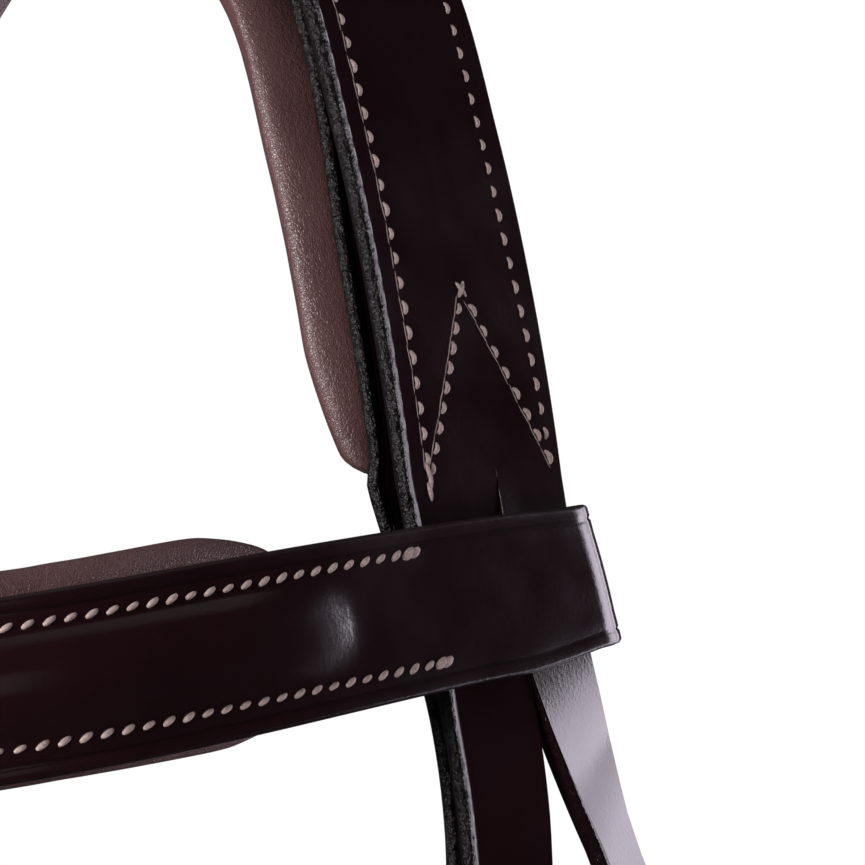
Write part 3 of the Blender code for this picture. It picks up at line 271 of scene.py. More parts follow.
# How far the sliphead stands forward of the cheek billet's middle at each step below the poll, in its widths
SLIP_LEAD_SHARES = (0.17, 0.17, 0.12, 0.05, 0.0, 0.0, 0.0)

# Shapes as shares: a strap's tip (its width, its length), the leading of a strap over a fold, the band's loop
TIP_SHARES = (
    (1.0, 0.0), (0.97, 0.16), (0.88, 0.36), (0.72, 0.56), (0.52, 0.74), (0.33, 0.87), (0.16, 0.95), (0.04, 1.0),
)
FOLD_NECK_SHARE = 0.45
SHOULDER_SHARE = 0.6
BUCKLE_APPROACH_SHARE = 1.5
HOLE_CENTRE_SHARE = 0.41
HOLE_HALF_SHARE = 0.34
LOOP_CORNER_SHARE = 1.3
LOOP_SOFT_SHARE = 0.3
LOOP_TURN_SHARES = (0.7, 1.1)
LOOP_INNER_SHARES = (0.92, 1.06)
LOOP_RETURN_SHARES = (0.85, 1.1)
NOSE_PAD_ROUND_SHARE = 0.86
NOSE_PAD_THIN_SHARE = 0.45
BRIDGE_SHARES = (0.46, 0.72)

# Outlines of the pads' sections: shares of half width and of thickness, from the outer face inwards
CROWN_PAD_SHARES = (
    (-0.95, 0.22), (-0.66, 0.0), (0.03, 0.0), (0.10, -0.22), (0.62, -0.22), (0.90, 0.02), (1.0, 0.38),
    (0.88, 0.72), (0.46, 0.95), (0.0, 1.0), (-0.46, 0.95), (-0.88, 0.72), (-1.0, 0.46),
)
BROW_PAD_SHARES = (
    (-0.93, 0.22), (-0.72, 0.0), (0.0, 0.0), (0.72, 0.0), (0.93, 0.22), (1.0, 0.45),
    (0.80, 0.78), (0.36, 0.97), (-0.36, 0.97), (-0.80, 0.78), (-1.0, 0.45),
)
# How a pad narrows to its end: how far from the end, in half widths, then shares of width and thickness
PAD_END_SHARES = (
    (0.0, 0.34, 0.42), (0.10, 0.62, 0.70), (0.32, 0.84, 0.88), (0.70, 0.97, 0.98), (1.1, 1.0, 1.0),
)

# Fine detail of the finished surfaces
SKIN_STEP = 0.0024
MITRE_LIMIT = 0.6
EDGE_ROUND_SHARE = 0.38
CROWN_ROUND = 0.50
REAR_ROUND = 0.04
CROWN_SPARE = 0.0006
LOOP_SPARE = 0.0008
CREASE_INSET = 0.0019
CREASE_HALF_WIDTH = 0.00035
CREASE_DEPTH = 0.00022
KEEPER_CREASE = 0.0013
KEEPER_BEND_SHARE = 0.62
KEEPER_BEND_STEPS = 5
FACE_SWELL = 0.00012
BAND_SWELL = 0.0030
STITCH_PITCH = 0.00355
STITCH_LENGTH = 0.0022
STITCH_THICKNESS = 0.00074
STITCH_RISE = 0.00022
STITCH_BOW = 0.0009
STITCH_UNEVENNESS = 0.09
STITCH_SEED = 5
SEAT_REACH = 0.004
SEAT_FACING = 0.5
HEADING_STEP = 0.001
FINE_PITCH = 0.0027
FINE_STITCH = 0.0019
ROW_INSET = CREASE_INSET * 1.5
ROW_STOP = 0.0015
PAD_STEP = 0.002
SECTION_CUTS = 2
PAD_CAP_SHARES = (0.2, 0.5, 0.8)
PAD_PRESSURE = 4.0
PAD_FRAMES = 20
PAD_CLOTH_QUALITY = 5
PAD_SWELL_CAP = 0.0013
FLOOR_DROP = 0.02
FLOOR_SIZE = 2.2

# A strap's section: (degrees, how worn the edge is) round its face's edge and its back's, and the swell of its face
EDGE_ARC = ((0, 1.0), (32, 1.0), (62, 0.9), (90, 0.2))
BACK_ARC = ((62, 0.8), (90, 0.2))
SWELL_SHARES = ((0.01, 0.0), (0.10, 0.20), (0.25, 0.46), (0.45, 0.72), (0.70, 0.92))

# The bridge: (share of its half length, whether it lies over the crossing); its rows of stitches
BRIDGE_LAY = (
    (-1.0, False), (-0.86, False), (-BRIDGE_SHARES[1], False), (-BRIDGE_SHARES[0], True), (-0.2, True),
    (0.2, True), (BRIDGE_SHARES[0], True), (BRIDGE_SHARES[1], False), (0.86, False), (1.0, False),
)
BRIDGE_STITCHES = 6
BRIDGE_ROW_SHARE = 0.46

# A tongue: shares of the way from its wrapped root to its point, and the widths at its first cuts
TONGUE_SHARES = (0.6, 0.3, 0.12)
TONGUE_POINT_WIDTHS = (0.55, 0.85, 1.0)

# More corners than any cap has, so that the caps are smooth too
SMOOTH_CAPS = 40

# Colours and finishes of this bridle
FACE_COLOUR = (0.0130, 0.0036, 0.0053, 1)
FACE_DEEP = (0.0088, 0.0024, 0.0037, 1)
EDGE_COLOUR = (0.0028, 0.0022, 0.0026, 1)
EDGE_WORN = (0.0085, 0.0070, 0.0080, 1)
LINING_COLOUR = (0.050, 0.026, 0.023, 1)
LINING_DEEP = (0.034, 0.017, 0.016, 1)
NAPPA_COLOUR = (0.094, 0.044, 0.045, 1)
NAPPA_DEEP = (0.066, 0.029, 0.031, 1)
THREAD_COLOUR = (0.42, 0.325, 0.305, 1)
THREAD_DEEP = (0.24, 0.175, 0.160, 1)
STEEL_COLOUR = (0.62, 0.61, 0.59, 1)

BODY = "straps"

# The headpiece's section: how many points its face has, and which points make each wall of the slit
FACE_POINTS = 12
FACE_END = 2 * FACE_POINTS - 2
UNDER_START = FACE_END + 4
CHEEK_WALL = tuple(range(FACE_END - 1, UNDER_START + 1))
THROAT_WALL = (3, 2, 1, 0, UNDER_START + 3, UNDER_START + 2)

# How the billets leave the crown, the rows of stitches and the V that closes them: (along, across)
EDGE_NARROWING = 0.022
SLIT_NARROWING = 0.090
SLIT_OPENING = 0.120
SLIT_COVER = 0.0012
SLIT_COVERED = 0.060
ROW_FRONT = -0.0124
ROW_REAR = 0.0108
V_APEX = (0.1589, -0.0005)
V_FRONT_END = (0.1880, -0.0133)
V_REAR_END = (0.1850, 0.0128)
CROWN_PITCH = 0.00377
VEE_PITCH = 0.0033
STRAND_ASIDE = 0.0006

# The lining stops short of the front edge and runs on past the slit
LINING_RECESS = 0.0042
LINING_TAIL = 0.003

# How the crown pad and the browband pad narrow to their ends
CROWN_END_SHARES = (
    (0.0, 0.74, 0.50), (0.03, 0.785, 0.74), (0.10, 0.81, 0.88), (0.29, 0.867, 0.95), (0.44, 0.905, 0.98),
    (0.62, 0.945, 1.0), (0.80, 0.980, 1.0), (1.40, 0.990, 1.0), (2.20, 1.0, 1.0),
)
BROW_END_SHARES = (
    (0.0, 0.60, 0.45), (0.07, 0.71, 0.62), (0.19, 0.80, 0.78), (0.48, 0.91, 0.92), (0.84, 0.99, 0.98),
    (1.1, 1.0, 1.0),
)
BROW_PAD_END = 0.0575

# The band: its creases and edges, its padded middle and its rows of stitches
BAND_CREASE = 0.0023
BAND_ROUND = 0.34
BAND_MARGIN_TOP = 0.0048
BAND_MARGIN_LOW = 0.0051
BAND_DROP = 0.0011
SWELL_FROM = 0.0495
SWELL_LENGTH = 0.0220
SWELL_CURVE = 0.0030
BROW_ROW_TOP = -0.0073
BAND_PITCH = 0.00308
BROW_ROW_LOW = 0.0090

# How far the sliphead is drawn forward, and how much wider it is, at each height
DRAWN = (
    (-0.165, 0.0, 0.0), (-0.128, -0.0013, 0.0), (-0.1040, 0.0012, 0.0), (-0.1005, 0.0019, 0.0008),
    (-0.0965, 0.0022, 0.0008), (-0.0935, 0.0019, 0.0), (-0.065, 0.0019, 0.0), (-0.035, 0.0, 0.0),
)

# Threads: what differs from the usual stitch
HEAD_STITCH = {"Length": 0.0024, "Thickness": 0.00085}
HEAD_STRAND = {"Length": CROWN_PITCH * 1.5, "Thickness": 0.00027, "Bow": 0.0, "Rise": 0.0}
HEAD_KNOT = {"Length": 0.0036, "Thickness": 0.00075, "Bow": 0.0001}
BAND_STITCH = {"Length": 0.0026, "Thickness": 0.00088, "Bow": 0.0, "Slant": 0.42}
BAND_KNOT = {"Length": 0.0031, "Thickness": 0.0014, "Bow": 0.0, "Slant": 0.35}
BAND_KNOT_REACH = 0.0006
BAND_ROW_STARTS = ((0.0371, BROW_ROW_TOP), (0.0343, BROW_ROW_LOW))
ROW_STRAIGHT_END = 0.150

# Lights: name, place, aim, size, power, colour
LIGHTS = (
    ("rear_window", (0.13, 1.4, -0.15), (0.05, 0.0, -0.15), (0.68, 1.5), 15, (0.94, 0.86, 1.0)),
    ("rear_side", (0.66, 1.4, -0.15), (0.05, 0.0, -0.15), (0.38, 1.5), 18, (0.94, 0.86, 1.0)),
    ("overhead", (0.0, 0.0, 2.0), (0.0, 0.0, -0.12), (2.4, 2.4), 6, (1.0, 0.96, 0.96)),
    ("front_key", (0.05, -1.38, 0.12), (0.0, 0.0, -0.12), (0.62, 0.56), 33, (1.0, 0.96, 0.96)),
    ("near_fill", (1.35, -0.40, 0.1), (0.05, 0.0, -0.15), (0.35, 0.6), 0.3, (1.0, 0.92, 0.88)),
)
ROOM_LIGHT = 0.04

# Camera
LENS = 168.555
SENSOR_WIDTH = 36
CAMERA_TURN = 45
CAMERA_PLACE = (0.5102, -0.4303, -0.1057 + CROWN_RISE)

# Where a strap that comes in to a buckle leaves its run
BUCKLE_APPROACH = BUCKLE_LENGTH * BUCKLE_APPROACH_SHARE


class Place:
    """A spot with three directions: along a strap, across it, and out of its face."""

    def __init__(self, point, along, across, out):
        self.point, self.along, self.across, self.out = point, along, across, out

    def at(self, along, across, out):
        return self.point + self.along * along + self.across * across + self.out * out

    def mirrored(self):
        return Place(*(flipped(v) for v in (self.point, self.along, self.across, self.out)))

    def facing_back(self):
        return Place(self.point, -self.along, self.across, self.out)

    def raised(self, level):
        return Place(self.at(0, 0, level), self.along, self.across, self.out)


class Run:
    """A smooth line over the head through chosen places, with its outward direction all along."""

    def __init__(self, points, outs):
        lengths = [(b - a).length for a, b in zip(points, points[1:])]
        rates = slopes(points, lengths)
        self.points, self.outs = [], []
        for i, length in enumerate(lengths):
            for k in range(SPAN_SAMPLES):
                share = k / SPAN_SAMPLES
                self.points.append(hermite(points[i], points[i + 1], rates[i], rates[i + 1], length, share))
                self.outs.append(outs[i].lerp(outs[i + 1], share))
        self.points.append(points[-1].copy())
        self.outs.append(outs[-1].copy())
        self.lengths = [0.0]
        for a, b in zip(self.points, self.points[1:]):
            self.lengths.append(self.lengths[-1] + (b - a).length)
        self.marks = [self.lengths[i * SPAN_SAMPLES] for i in range(len(points))]

    def place(self, length):
        last = len(self.points) - 1
        i = max(k for k, s in enumerate(self.lengths[:-1]) if s <= length or k == 0)
        share = (length - self.lengths[i]) / (self.lengths[i + 1] - self.lengths[i])
        point = self.points[i].lerp(self.points[i + 1], share)
        before, after = self.heading(i), self.heading(min(i + 1, last))
        along = before.lerp(after, share).normalized()
        out = self.outs[i].lerp(self.outs[i + 1], share)
        out = (out - along * out.dot(along)).normalized()
        return Place(point, along, out.cross(along), out)

    def heading(self, i):
        last = len(self.points) - 1
        return (self.points[min(i + 1, last)] - self.points[max(i - 1, 0)]).normalized()

    def steps(self, first, last):
        """Lengths from first to last, either way, close together where the run bends or turns."""
        low, high = sorted((first, last))
        between = [s for s in self.lengths if low < s < high]
        chosen, since = [first], self.place(first)
        for s in between if first < last else reversed(between):
            here = self.place(s)
            turned = max(here.along.angle(since.along), here.out.angle(since.out))
            if turned > STEP_BEND or abs(s - chosen[-1]) > STEP_LENGTH:
                chosen.append(s)
                since = here
        if len(chosen) > 1 and abs(last - chosen[-1]) < KEEPER_LEATHER:
            chosen.pop()
        return chosen + [last]


def flipped(vector):
    return Vector((-vector.x, vector.y, vector.z))


def slopes(values, lengths):
    """The rate of change at each value, weighted so that uneven spacing never overshoots."""
    rates = [(values[1] - values[0]) / lengths[0]]
    for i in range(1, len(values) - 1):
        back = (values[i] - values[i - 1]) / lengths[i - 1]
        ahead = (values[i + 1] - values[i]) / lengths[i]
        rates.append((back * lengths[i] + ahead * lengths[i - 1]) / (lengths[i - 1] + lengths[i]))
    rates.append((values[-1] - values[-2]) / lengths[-1])
    return rates


def hermite(a, b, rate_a, rate_b, length, share):
    square, cube = share**2, share**3
    return (
        a * (2 * cube - 3 * square + 1)
        + rate_a * length * (cube - 2 * square + share)
        + b * (3 * square - 2 * cube)
        + rate_b * length * (cube - square)
    )


def smooth(share):
    share = min(max(share, 0.0), 1.0)
    return share * share * (3 - 2 * share)


def head_point(x_share, y_share, z_share):
    return Vector((x_share * HEAD_HALF_WIDTH, y_share * HEAD_DEPTH, z_share * HEAD_LENGTH + CROWN_RISE))


def facing(turn, lift):
    turn, lift = math.radians(turn), math.radians(lift)
    return Vector((math.cos(turn) * math.cos(lift), math.sin(turn) * math.cos(lift), math.sin(lift)))


def head_run(rows):
    return Run([head_point(*row[:3]) for row in rows], [facing(*row[3:]) for row in rows])


# Meshes
def ring_of(bm, points):
    return [bm.verts.new(p) for p in points]


def bridge(bm, ring_a, ring_b):
    count = len(ring_a)
    for i in range(count):
        k = (i + 1) % count
        bm.faces.new((ring_a[i], ring_a[k], ring_b[k], ring_b[i]))


def loft(bm, rings, closed=False):
    """Skins a row of rings, closed into a hoop or capped at both ends."""
    rings = [ring if isinstance(ring[0], bmesh.types.BMVert) else ring_of(bm, ring) for ring in rings]
    for a, b in zip(rings, rings[1:]):
        bridge(bm, a, b)
    if closed:
        bridge(bm, rings[-1], rings[0])
    else:
        bm.faces.new(rings[0])
        bm.faces.new(list(reversed(rings[-1])))
    return rings


def lay(run, first, last, width, level=0.0, end_level=None):
    """Cuts along a run, at a level that may change smoothly."""
    end_level = level if end_level is None else end_level
    cuts = []
    for s in run.steps(first, last):
        share = smooth((s - first) / (last - first))
        place = run.place(s)
        cuts.append((place.at(0, 0, level + (end_level - level) * share), place.across, width / 2))
    return cuts


def side_view(place, points, width):
    return [(place.at(along, 0, out), place.across, width / 2) for along, out in points]


def mirrored(cuts):
    return [(flipped(point), flipped(across), half) for point, across, half in cuts]


def tapered_tip(place, width, level, start, finish_at):
    """The last cuts of a strap's tip, from start to finish_at along its place."""
    tip = []
    for width_share, length_share in TIP_SHARES:
        along = start + (finish_at - start) * length_share
        tip.append((place.at(along, 0, level), place.across, width / 2 * width_share))
    return tip


def fold(spread, radius, reach=0.0, middle=0.0, lead=FOLD_LEAD):
    """Side view of leather turned round a bar, from the inner layer to the outer one."""
    neck = lead * FOLD_NECK_SHARE
    points = [(-lead, -spread), (-neck, -(spread + radius) / 2)]
    for i in range(FOLD_STEPS + 1):
        angle = math.pi * (i / FOLD_STEPS - 0.5)
        points.append((reach + radius * math.cos(angle), radius * math.sin(angle)))
    points += [(-neck, (spread + radius) / 2), (-lead, spread)]
    return [(along, out + middle) for along, out in points]


def spread_of(leather):
    """Level of each layer of a doubled strap, out from the line between them."""
    return (leather + 2 * GAP) / 2


def fold_radius(leather, bar):
    return bar + GAP + leather / 2


def over_chape(leather):
    """Level of a strap that lies on both layers of a turned end."""
    return spread_of(leather) + leather + GAP


def buckled_tip(leather, width, place, tip_reach):
    """Cuts of a strap that comes in under the buckle's outer bar, goes up over the fold and on to its tip."""
    under = BUCKLE_RISE - BUCKLE_WIRE - GAP - leather / 2
    top = 2 * (BUCKLE_WIRE + GAP + leather) + GAP / 2 - BUCKLE_WIRE - leather / 2 + GAP
    shoulder = fold_radius(leather, BUCKLE_WIRE) * SHOULDER_SHARE
    points = (
        (BUCKLE_LENGTH + BUCKLE_WIRE * 3, under),
        (BUCKLE_LENGTH - BUCKLE_WIRE, under),
        (shoulder, top),
        (-shoulder, top),
        (-FOLD_LEAD, over_chape(leather)),
    )
    tip_from = -(tip_reach - STRAP_TIP)
    tip = tapered_tip(place, width, over_chape(leather), tip_from, -tip_reach)
    return side_view(place, points, width) + tip


def tongue_hole(place, leather):
    """The slot in a buckled strap that its tongue stands in."""
    centre = place.at(BUCKLE_LENGTH * HOLE_CENTRE_SHARE, 0, leather)
    middle = Place(centre, place.along, place.across, place.out)
    return middle, BUCKLE_LENGTH * HOLE_HALF_SHARE, TONGUE_WIDTH / 2 + 2 * GAP, OVERRUN


def chape_slot(place, leather):
    """The slot in a turned end that the root of the tongue moves in."""
    radius = fold_radius(leather, BUCKLE_WIRE) + leather
    return place, radius + GAP, TONGUE_WIDTH / 2 + 2 * GAP, OVERRUN


# Runs over the near side of the head
def bar_length(run, first_mark, share):
    return run.marks[first_mark] + (run.marks[first_mark + 1] - run.marks[first_mark]) * share


CROWN = head_run(CROWN_SHARES)
CROWN_TOP, CROWN_SPLIT = CROWN.marks[1], CROWN.marks[-2]
CROWN_STEPS = CROWN.steps(CROWN_TOP, CROWN_SPLIT)
CHEEK = head_run(CHEEK_SHARES)
SLIP_ASIDE = head_point(*CHEEK_SHARES[1][:3]).y
CHEEK_SPLIT, CHEEK_END = CHEEK.marks[1], CHEEK.marks[-2]
CHEEK_BAR = bar_length(CHEEK, 8, CHEEK_BAR_SHARE)
THROAT = head_run(THROAT_SHARES)
THROAT_MIDDLE = THROAT.marks[-2]
THROAT_BAR = bar_length(THROAT, 8, THROAT_BAR_SHARE)
BROW = head_run(BROW_SHARES)
BROW_MIDDLE = BROW.marks[-2]
BROW_STEPS = BROW.steps(BROW.marks[1], BROW_MIDDLE)


def ring_place():
    centre = head_point(*RING_CENTRE_SHARES)
    out = facing(0, RING_FACE_LIFT)
    return Place(centre, Vector((0, 1, 0)), Vector((0, 1, 0)).cross(out), out)


def ring_side(target):
    """The place on the ring's wire that faces a target point; along leads to the ring's middle."""
    ring = ring_place()
    away = target - ring.point
    away = (away - ring.out * away.dot(ring.out)).normalized()
    return Place(ring.point + away * RING_RADIUS, -away, ring.out.cross(away), ring.out)


def from_ring(rows):
    """A run that starts on the ring's wire and leads on through the rows."""
    points = [head_point(*row[:3]) for row in rows]
    outs = [facing(*row[3:]) for row in rows]
    start = ring_side(points[0])
    return Run([start.point] + points, [start.out] + outs)


def slip_run():
    """The sliphead's line below the crown: under the cheek billet, then behind it down to the ring."""
    points, outs = [], []
    places = [(CROWN, CROWN_STEPS[-2], SLIP_ASIDE)]
    cheek_step = (CHEEK.marks[5] - CHEEK_SPLIT) / 5
    places += [(CHEEK, CHEEK_SPLIT + cheek_step * i, 0.0) for i in range(6)]
    for (run, s, aside), lead in zip(places, SLIP_LEAD_SHARES):
        place = run.place(s)
        points.append(place.at(0, aside - lead * NOSE_WIDTH, SLIP_LEVEL))
        outs.append(place.out)
    points += [head_point(*row[:3]) for row in SLIP_SHARES]
    outs += [facing(*row[3:]) for row in SLIP_SHARES]
    end = ring_side(points[-1])
    return Run(points + [end.point], outs + [end.out])


SLIP = slip_run()
SLIP_SPLIT, SLIP_END = SLIP.marks[1], SLIP.marks[-1]
SLIP_BAR = bar_length(SLIP, len(SLIP.marks) - 2, SLIP_BAR_SHARE)
CROSS = from_ring(CROSS_SHARES)
CROSS_BAR = bar_length(CROSS, len(CROSS.marks) - 6, CHIN_BAR_SHARE)
CROSSING = CROSS.marks[7]
JAW = from_ring(JAW_SHARES)
JAW_BAR = bar_length(JAW, 1, JAW_BAR_SHARE)


def bar_place(run, length, towards):
    """The place of a buckle's bar; along points towards the strap that comes in."""
    place = run.place(length)
    return place if towards > 0 else place.facing_back()


CHEEK_BUCKLE = bar_place(CHEEK, CHEEK_BAR, -1)
THROAT_BUCKLE = bar_place(THROAT, THROAT_BAR, -1)
SLIP_BUCKLE = bar_place(SLIP, SLIP_BAR, -1)
JAW_BUCKLE = bar_place(JAW, JAW_BAR, 1)
CHIN_BUCKLE = bar_place(CROSS, CROSS_BAR, 1).mirrored()


def chape(run, bar, side, leather, width, level_to, s_to, back, wire=BUCKLE_WIRE, reach=0.0):
    """Half of a turned strap: from s_to along the run to its bar, round it and back by its return."""
    spread = spread_of(leather)
    toward = 1 if s_to < bar else -1
    bend = run.place(bar) if toward > 0 else run.place(bar).facing_back()
    near, tip = bar - toward * FOLD_LEAD, bar - toward * back
    hold = tip - toward * FOLD_LEAD
    if abs(s_to - bar) > abs(hold - bar):
        main = lay(run, near, tip, width, -spread * side)[:-1]
        main += lay(run, tip, hold, width, -spread * side)[:-1]
        main += lay(run, hold, s_to, width, -spread * side, level_to)
    else:
        main = lay(run, near, s_to, width, -spread * side)
    turned = [(a, o * side) for a, o in fold(spread, fold_radius(leather, wire), reach)]
    again = lay(run, near, tip, width, spread * side)
    return list(reversed(main))[:-1] + side_view(bend, turned, width) + again[1:]


def ring_reach(width):
    """How far the ring's wire curves away across the width of a strap turned round it."""
    return RING_RADIUS - math.sqrt(RING_RADIUS**2 - (width / 2) ** 2) + GAP


def crown_cuts(width, level, aside, lead=0.0):
    """Cuts over the crown from one side to the other, coming forward by the lead, without the last step."""
    near = []
    for s in CROWN_STEPS[:-1]:
        place = CROWN.place(s)
        forward = aside - lead * smooth((s - CROWN_TOP) / (CROWN_STEPS[-2] - CROWN_TOP))
        near.append((place.at(0, forward, level), place.across, width / 2))
    return mirrored(reversed(near[1:])) + near


def pad_end(distance, rows):
    """Shares of a pad's width and thickness at a distance from its end, in half widths."""
    for (d0, w0, t0), (d1, w1, t1) in zip(rows, rows[1:]):
        if distance <= d1:
            share = max(distance - d0, 0.0) / (d1 - d0)
            return w0 + (w1 - w0) * share, t0 + (t1 - t0) * share
    return 1.0, 1.0


def pad_places(run, steps, end, level, half_width):
    """Places at the steps, from the pad's end to the middle line, with more where the end rounds off."""
    lengths = [s for s in steps if abs(s - end) > half_width * PAD_END_SHARES[1][0]]
    toward = 1 if steps[-1] > end else -1
    for share, _, _ in PAD_END_SHARES:
        s = end + toward * share * half_width
        if min(abs(s - t) for t in lengths) > LINING_LEATHER:
            lengths.append(s)
    places = [run.place(s) for s in sorted(lengths, key=lambda s: abs(s - end))]
    return [p.raised(level) for p in places]


def both_sides(near):
    return near + [p.mirrored() for p in reversed(near[:-1])]


def upright(place):
    return place.across if place.across.z > 0 else -place.across


def ring_end(run, bar, s_to, level_to, side=1):
    return chape(run, bar, side, NOSE_LEATHER, NOSE_WIDTH, level_to, s_to, RING_RETURN, RING_WIRE + 2 * GAP,
                 ring_reach(NOSE_WIDTH))


def crossing_place():
    """The middle of the crossing: along leads down the nose."""
    centre = head_point(0.0, CROSS_SHARES[6][1], CROSS_SHARES[6][2])
    return Place(centre, Vector((0, 0, -1)), Vector((1, 0, 0)), Vector((0, -1, 0)))


# Node trees
class Tree:
    """A node tree, with short words for adding nodes and joining them."""

    def __init__(self, tree):
        self.tree = tree

    def add(self, kind, feeds=(), **settings):
        """A node with its settings, its inputs fed with values or with other nodes' outputs."""
        node = self.tree.nodes.new(kind)
        for key, value in settings.items():
            setattr(node, key, value)
        for key, value in dict(feeds).items():
            self.feed(node.inputs[key], value)
        return node

    def feed(self, socket, value):
        if isinstance(value, bpy.types.NodeSocket):
            self.tree.links.new(value, socket)
        else:
            socket.default_value = value

    def maths(self, operation, a, b):
        return self.add("ShaderNodeMath", {0: a, 1: b}, operation=operation).outputs["Value"]

    def spread(self, source, low, high, to_low=0.0, to_high=1.0):
        feeds = {"Value": source, "From Min": low, "From Max": high, "To Min": to_low, "To Max": to_high}
        return self.add("ShaderNodeMapRange", feeds).outputs["Result"]


class Finish(Tree):
    """A procedural material."""

    def __init__(self, name):
        self.material = bpy.data.materials.new(name)
        self.material.use_nodes = True
        super().__init__(self.material.node_tree)
        self.shader = self.tree.nodes["Principled BSDF"]
        self.place = self.add("ShaderNodeTexCoord").outputs["Object"]

    def noise(self, scale, detail=3.0, roughness=0.55):
        feeds = {"Vector": self.place, "Scale": scale, "Detail": detail, "Roughness": roughness}
        return self.add("ShaderNodeTexNoise", feeds).outputs["Fac"]

    def cells(self, scale, feature="F1"):
        feeds = {"Vector": self.place, "Scale": scale}
        return self.add("ShaderNodeTexVoronoi", feeds, feature=feature).outputs["Distance"]

    def mark(self, name):
        return self.add("ShaderNodeAttribute", attribute_name=name).outputs["Fac"]

    def blend(self, share, a, b):
        node = self.add("ShaderNodeMix", {"Factor": share}, data_type="RGBA")
        for socket, value in zip([s for s in node.inputs if s.type == "RGBA"], (a, b)):
            self.feed(socket, value)
        return [s for s in node.outputs if s.type == "RGBA"][0]

    def bump(self, height, distance, strength, onto=None):
        feeds = {"Height": height, "Distance": distance, "Strength": strength}
        if onto is not None:
            feeds["Normal"] = onto
        return self.add("ShaderNodeBump", feeds).outputs["Normal"]

    def set(self, **values):
        for key, value in values.items():
            self.feed(self.shader.inputs[key.replace("_", " ")], value)
        return self.material


# Materials
def waxed_leather(name, face, deep, edge, worn, gloss, fibre=1.0, shine=0.22):
    """Bridle leather: a smooth dyed face, creased near its burnished edges, with painted shade darkening the crease
    grooves, a little rougher behind.
    """
    f = Finish(name)
    cloud = f.spread(f.noise(55.0, 5.0), 0.32, 0.68)
    grain = f.cells(1500.0)
    pores = f.noise(2600.0, 2.0)
    colour = f.blend(cloud, deep, face)
    # painted shade: the colour darkens to half the deep tone in each crease groove
    groove_shade = f.mark("groove_shade")
    colour = f.blend(f.maths("MULTIPLY", groove_shade, 0.75), colour, (deep[0] / 2, deep[1] / 2, deep[2] / 2, 1))
    flecks = f.spread(f.noise(1000.0, 4.0, 0.7), 0.50, 0.64)
    rim = f.blend(flecks, edge, worn)
    edge_mark = f.mark("edge")
    colour = f.blend(edge_mark, colour, rim)
    rough = f.spread(f.noise(90.0, 4.0), 0.3, 0.7, gloss - 0.02, gloss + 0.05)
    rough = f.maths("ADD", rough, f.maths("MULTIPLY", edge_mark, f.spread(flecks, 0.0, 1.0, 0.24, 0.10)))
    rough = f.maths("ADD", rough, f.maths("MULTIPLY", f.mark("under"), 0.25))
    normal = f.bump(grain, 0.00005, 0.16)
    normal = f.bump(pores, 0.00004, 0.18, normal)
    fibres = f.maths("MULTIPLY", f.noise(1000.0, 3.0, 0.6), edge_mark)
    normal = f.bump(fibres, 0.0008 * fibre, 1.0, normal)
    normal = f.bump(f.maths("MULTIPLY", f.noise(240.0, 3.0), edge_mark), 0.0009 * fibre, 0.5, normal)
    normal = f.bump(f.noise(38.0, 2.0), 0.0006, 0.15, normal)
    return f.set(Base_Color=colour, Roughness=rough, Normal=normal, Specular_IOR_Level=shine)


def nappa(name):
    """Soft pad leather: plump, matt and finely pebbled."""
    f = Finish(name)
    cloud = f.spread(f.noise(42.0, 5.0), 0.30, 0.70)
    colour = f.blend(cloud, NAPPA_DEEP, NAPPA_COLOUR)
    cracks = f.cells(2300.0, "DISTANCE_TO_EDGE")
    low = f.spread(cracks, 0.0, 0.16)
    rough = f.spread(f.noise(120.0, 3.0), 0.3, 0.7, 0.34, 0.44)
    normal = f.bump(low, 0.00012, 0.42)
    normal = f.bump(f.noise(1500.0, 3.0), 0.0003, 0.5, normal)
    normal = f.bump(f.noise(170.0, 4.0), 0.0006, 0.22, normal)
    normal = f.bump(f.noise(26.0, 2.0), 0.0020, 0.18, normal)
    return f.set(Base_Color=colour, Roughness=rough, Normal=normal, Specular_IOR_Level=0.62)


def waxed_thread(name):
    """Pale waxed thread, twisted from fine strands."""
    f = Finish(name)
    fuzz = f.noise(2300.0, 4.0, 0.7)
    colour = f.blend(f.spread(fuzz, 0.32, 0.62), THREAD_DEEP, THREAD_COLOUR)
    normal = f.bump(fuzz, 0.0002, 0.5)
    return f.set(Base_Color=colour, Roughness=0.62, Normal=normal, Specular_IOR_Level=0.3)


def polished_steel(name, roughness):
    """Polished steel with a faint drawn haze and finger marks."""
    f = Finish(name)
    haze = f.spread(f.noise(70.0, 5.0), 0.3, 0.7, roughness - 0.04, roughness + 0.08)
    normal = f.bump(f.noise(900.0, 2.0), 0.00002, 0.12)
    return f.set(Base_Color=STEEL_COLOUR, Metallic=1.0, Roughness=haze, Normal=normal)


HAVANA = waxed_leather("havana_strap", FACE_COLOUR, FACE_DEEP, EDGE_COLOUR, EDGE_WORN, 0.125)
HAVANA_BAND = waxed_leather("havana_band", FACE_COLOUR, FACE_DEEP, FACE_DEEP, FACE_COLOUR, 0.16, 0.10, 0.27)
HAVANA_LOOP = waxed_leather("havana_keeper", FACE_COLOUR, FACE_DEEP, EDGE_COLOUR, EDGE_WORN, 0.20, 0.5)
NAPPA = nappa("nappa_pad")
LINING = waxed_leather("lining_leather", LINING_COLOUR, LINING_DEEP, EDGE_COLOUR, EDGE_WORN, 0.55)
THREAD = waxed_thread("waxed_thread")
RING_STEEL = polished_steel("ring_steel", 0.16)
BUCKLE_STEEL = polished_steel("buckle_steel", 0.20)


# Finished pieces
def piece(name, mesh, material, node=None, body=BODY):
    """Puts a finished mesh in the scene, on its body and in place of its node."""
    mesh.materials.clear()
    mesh.materials.append(material)
    thing = bpy.data.objects.new(name, mesh)
    bpy.context.scene.collection.objects.link(thing)
    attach(thing, body)
    if node:
        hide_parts(node)
    return thing


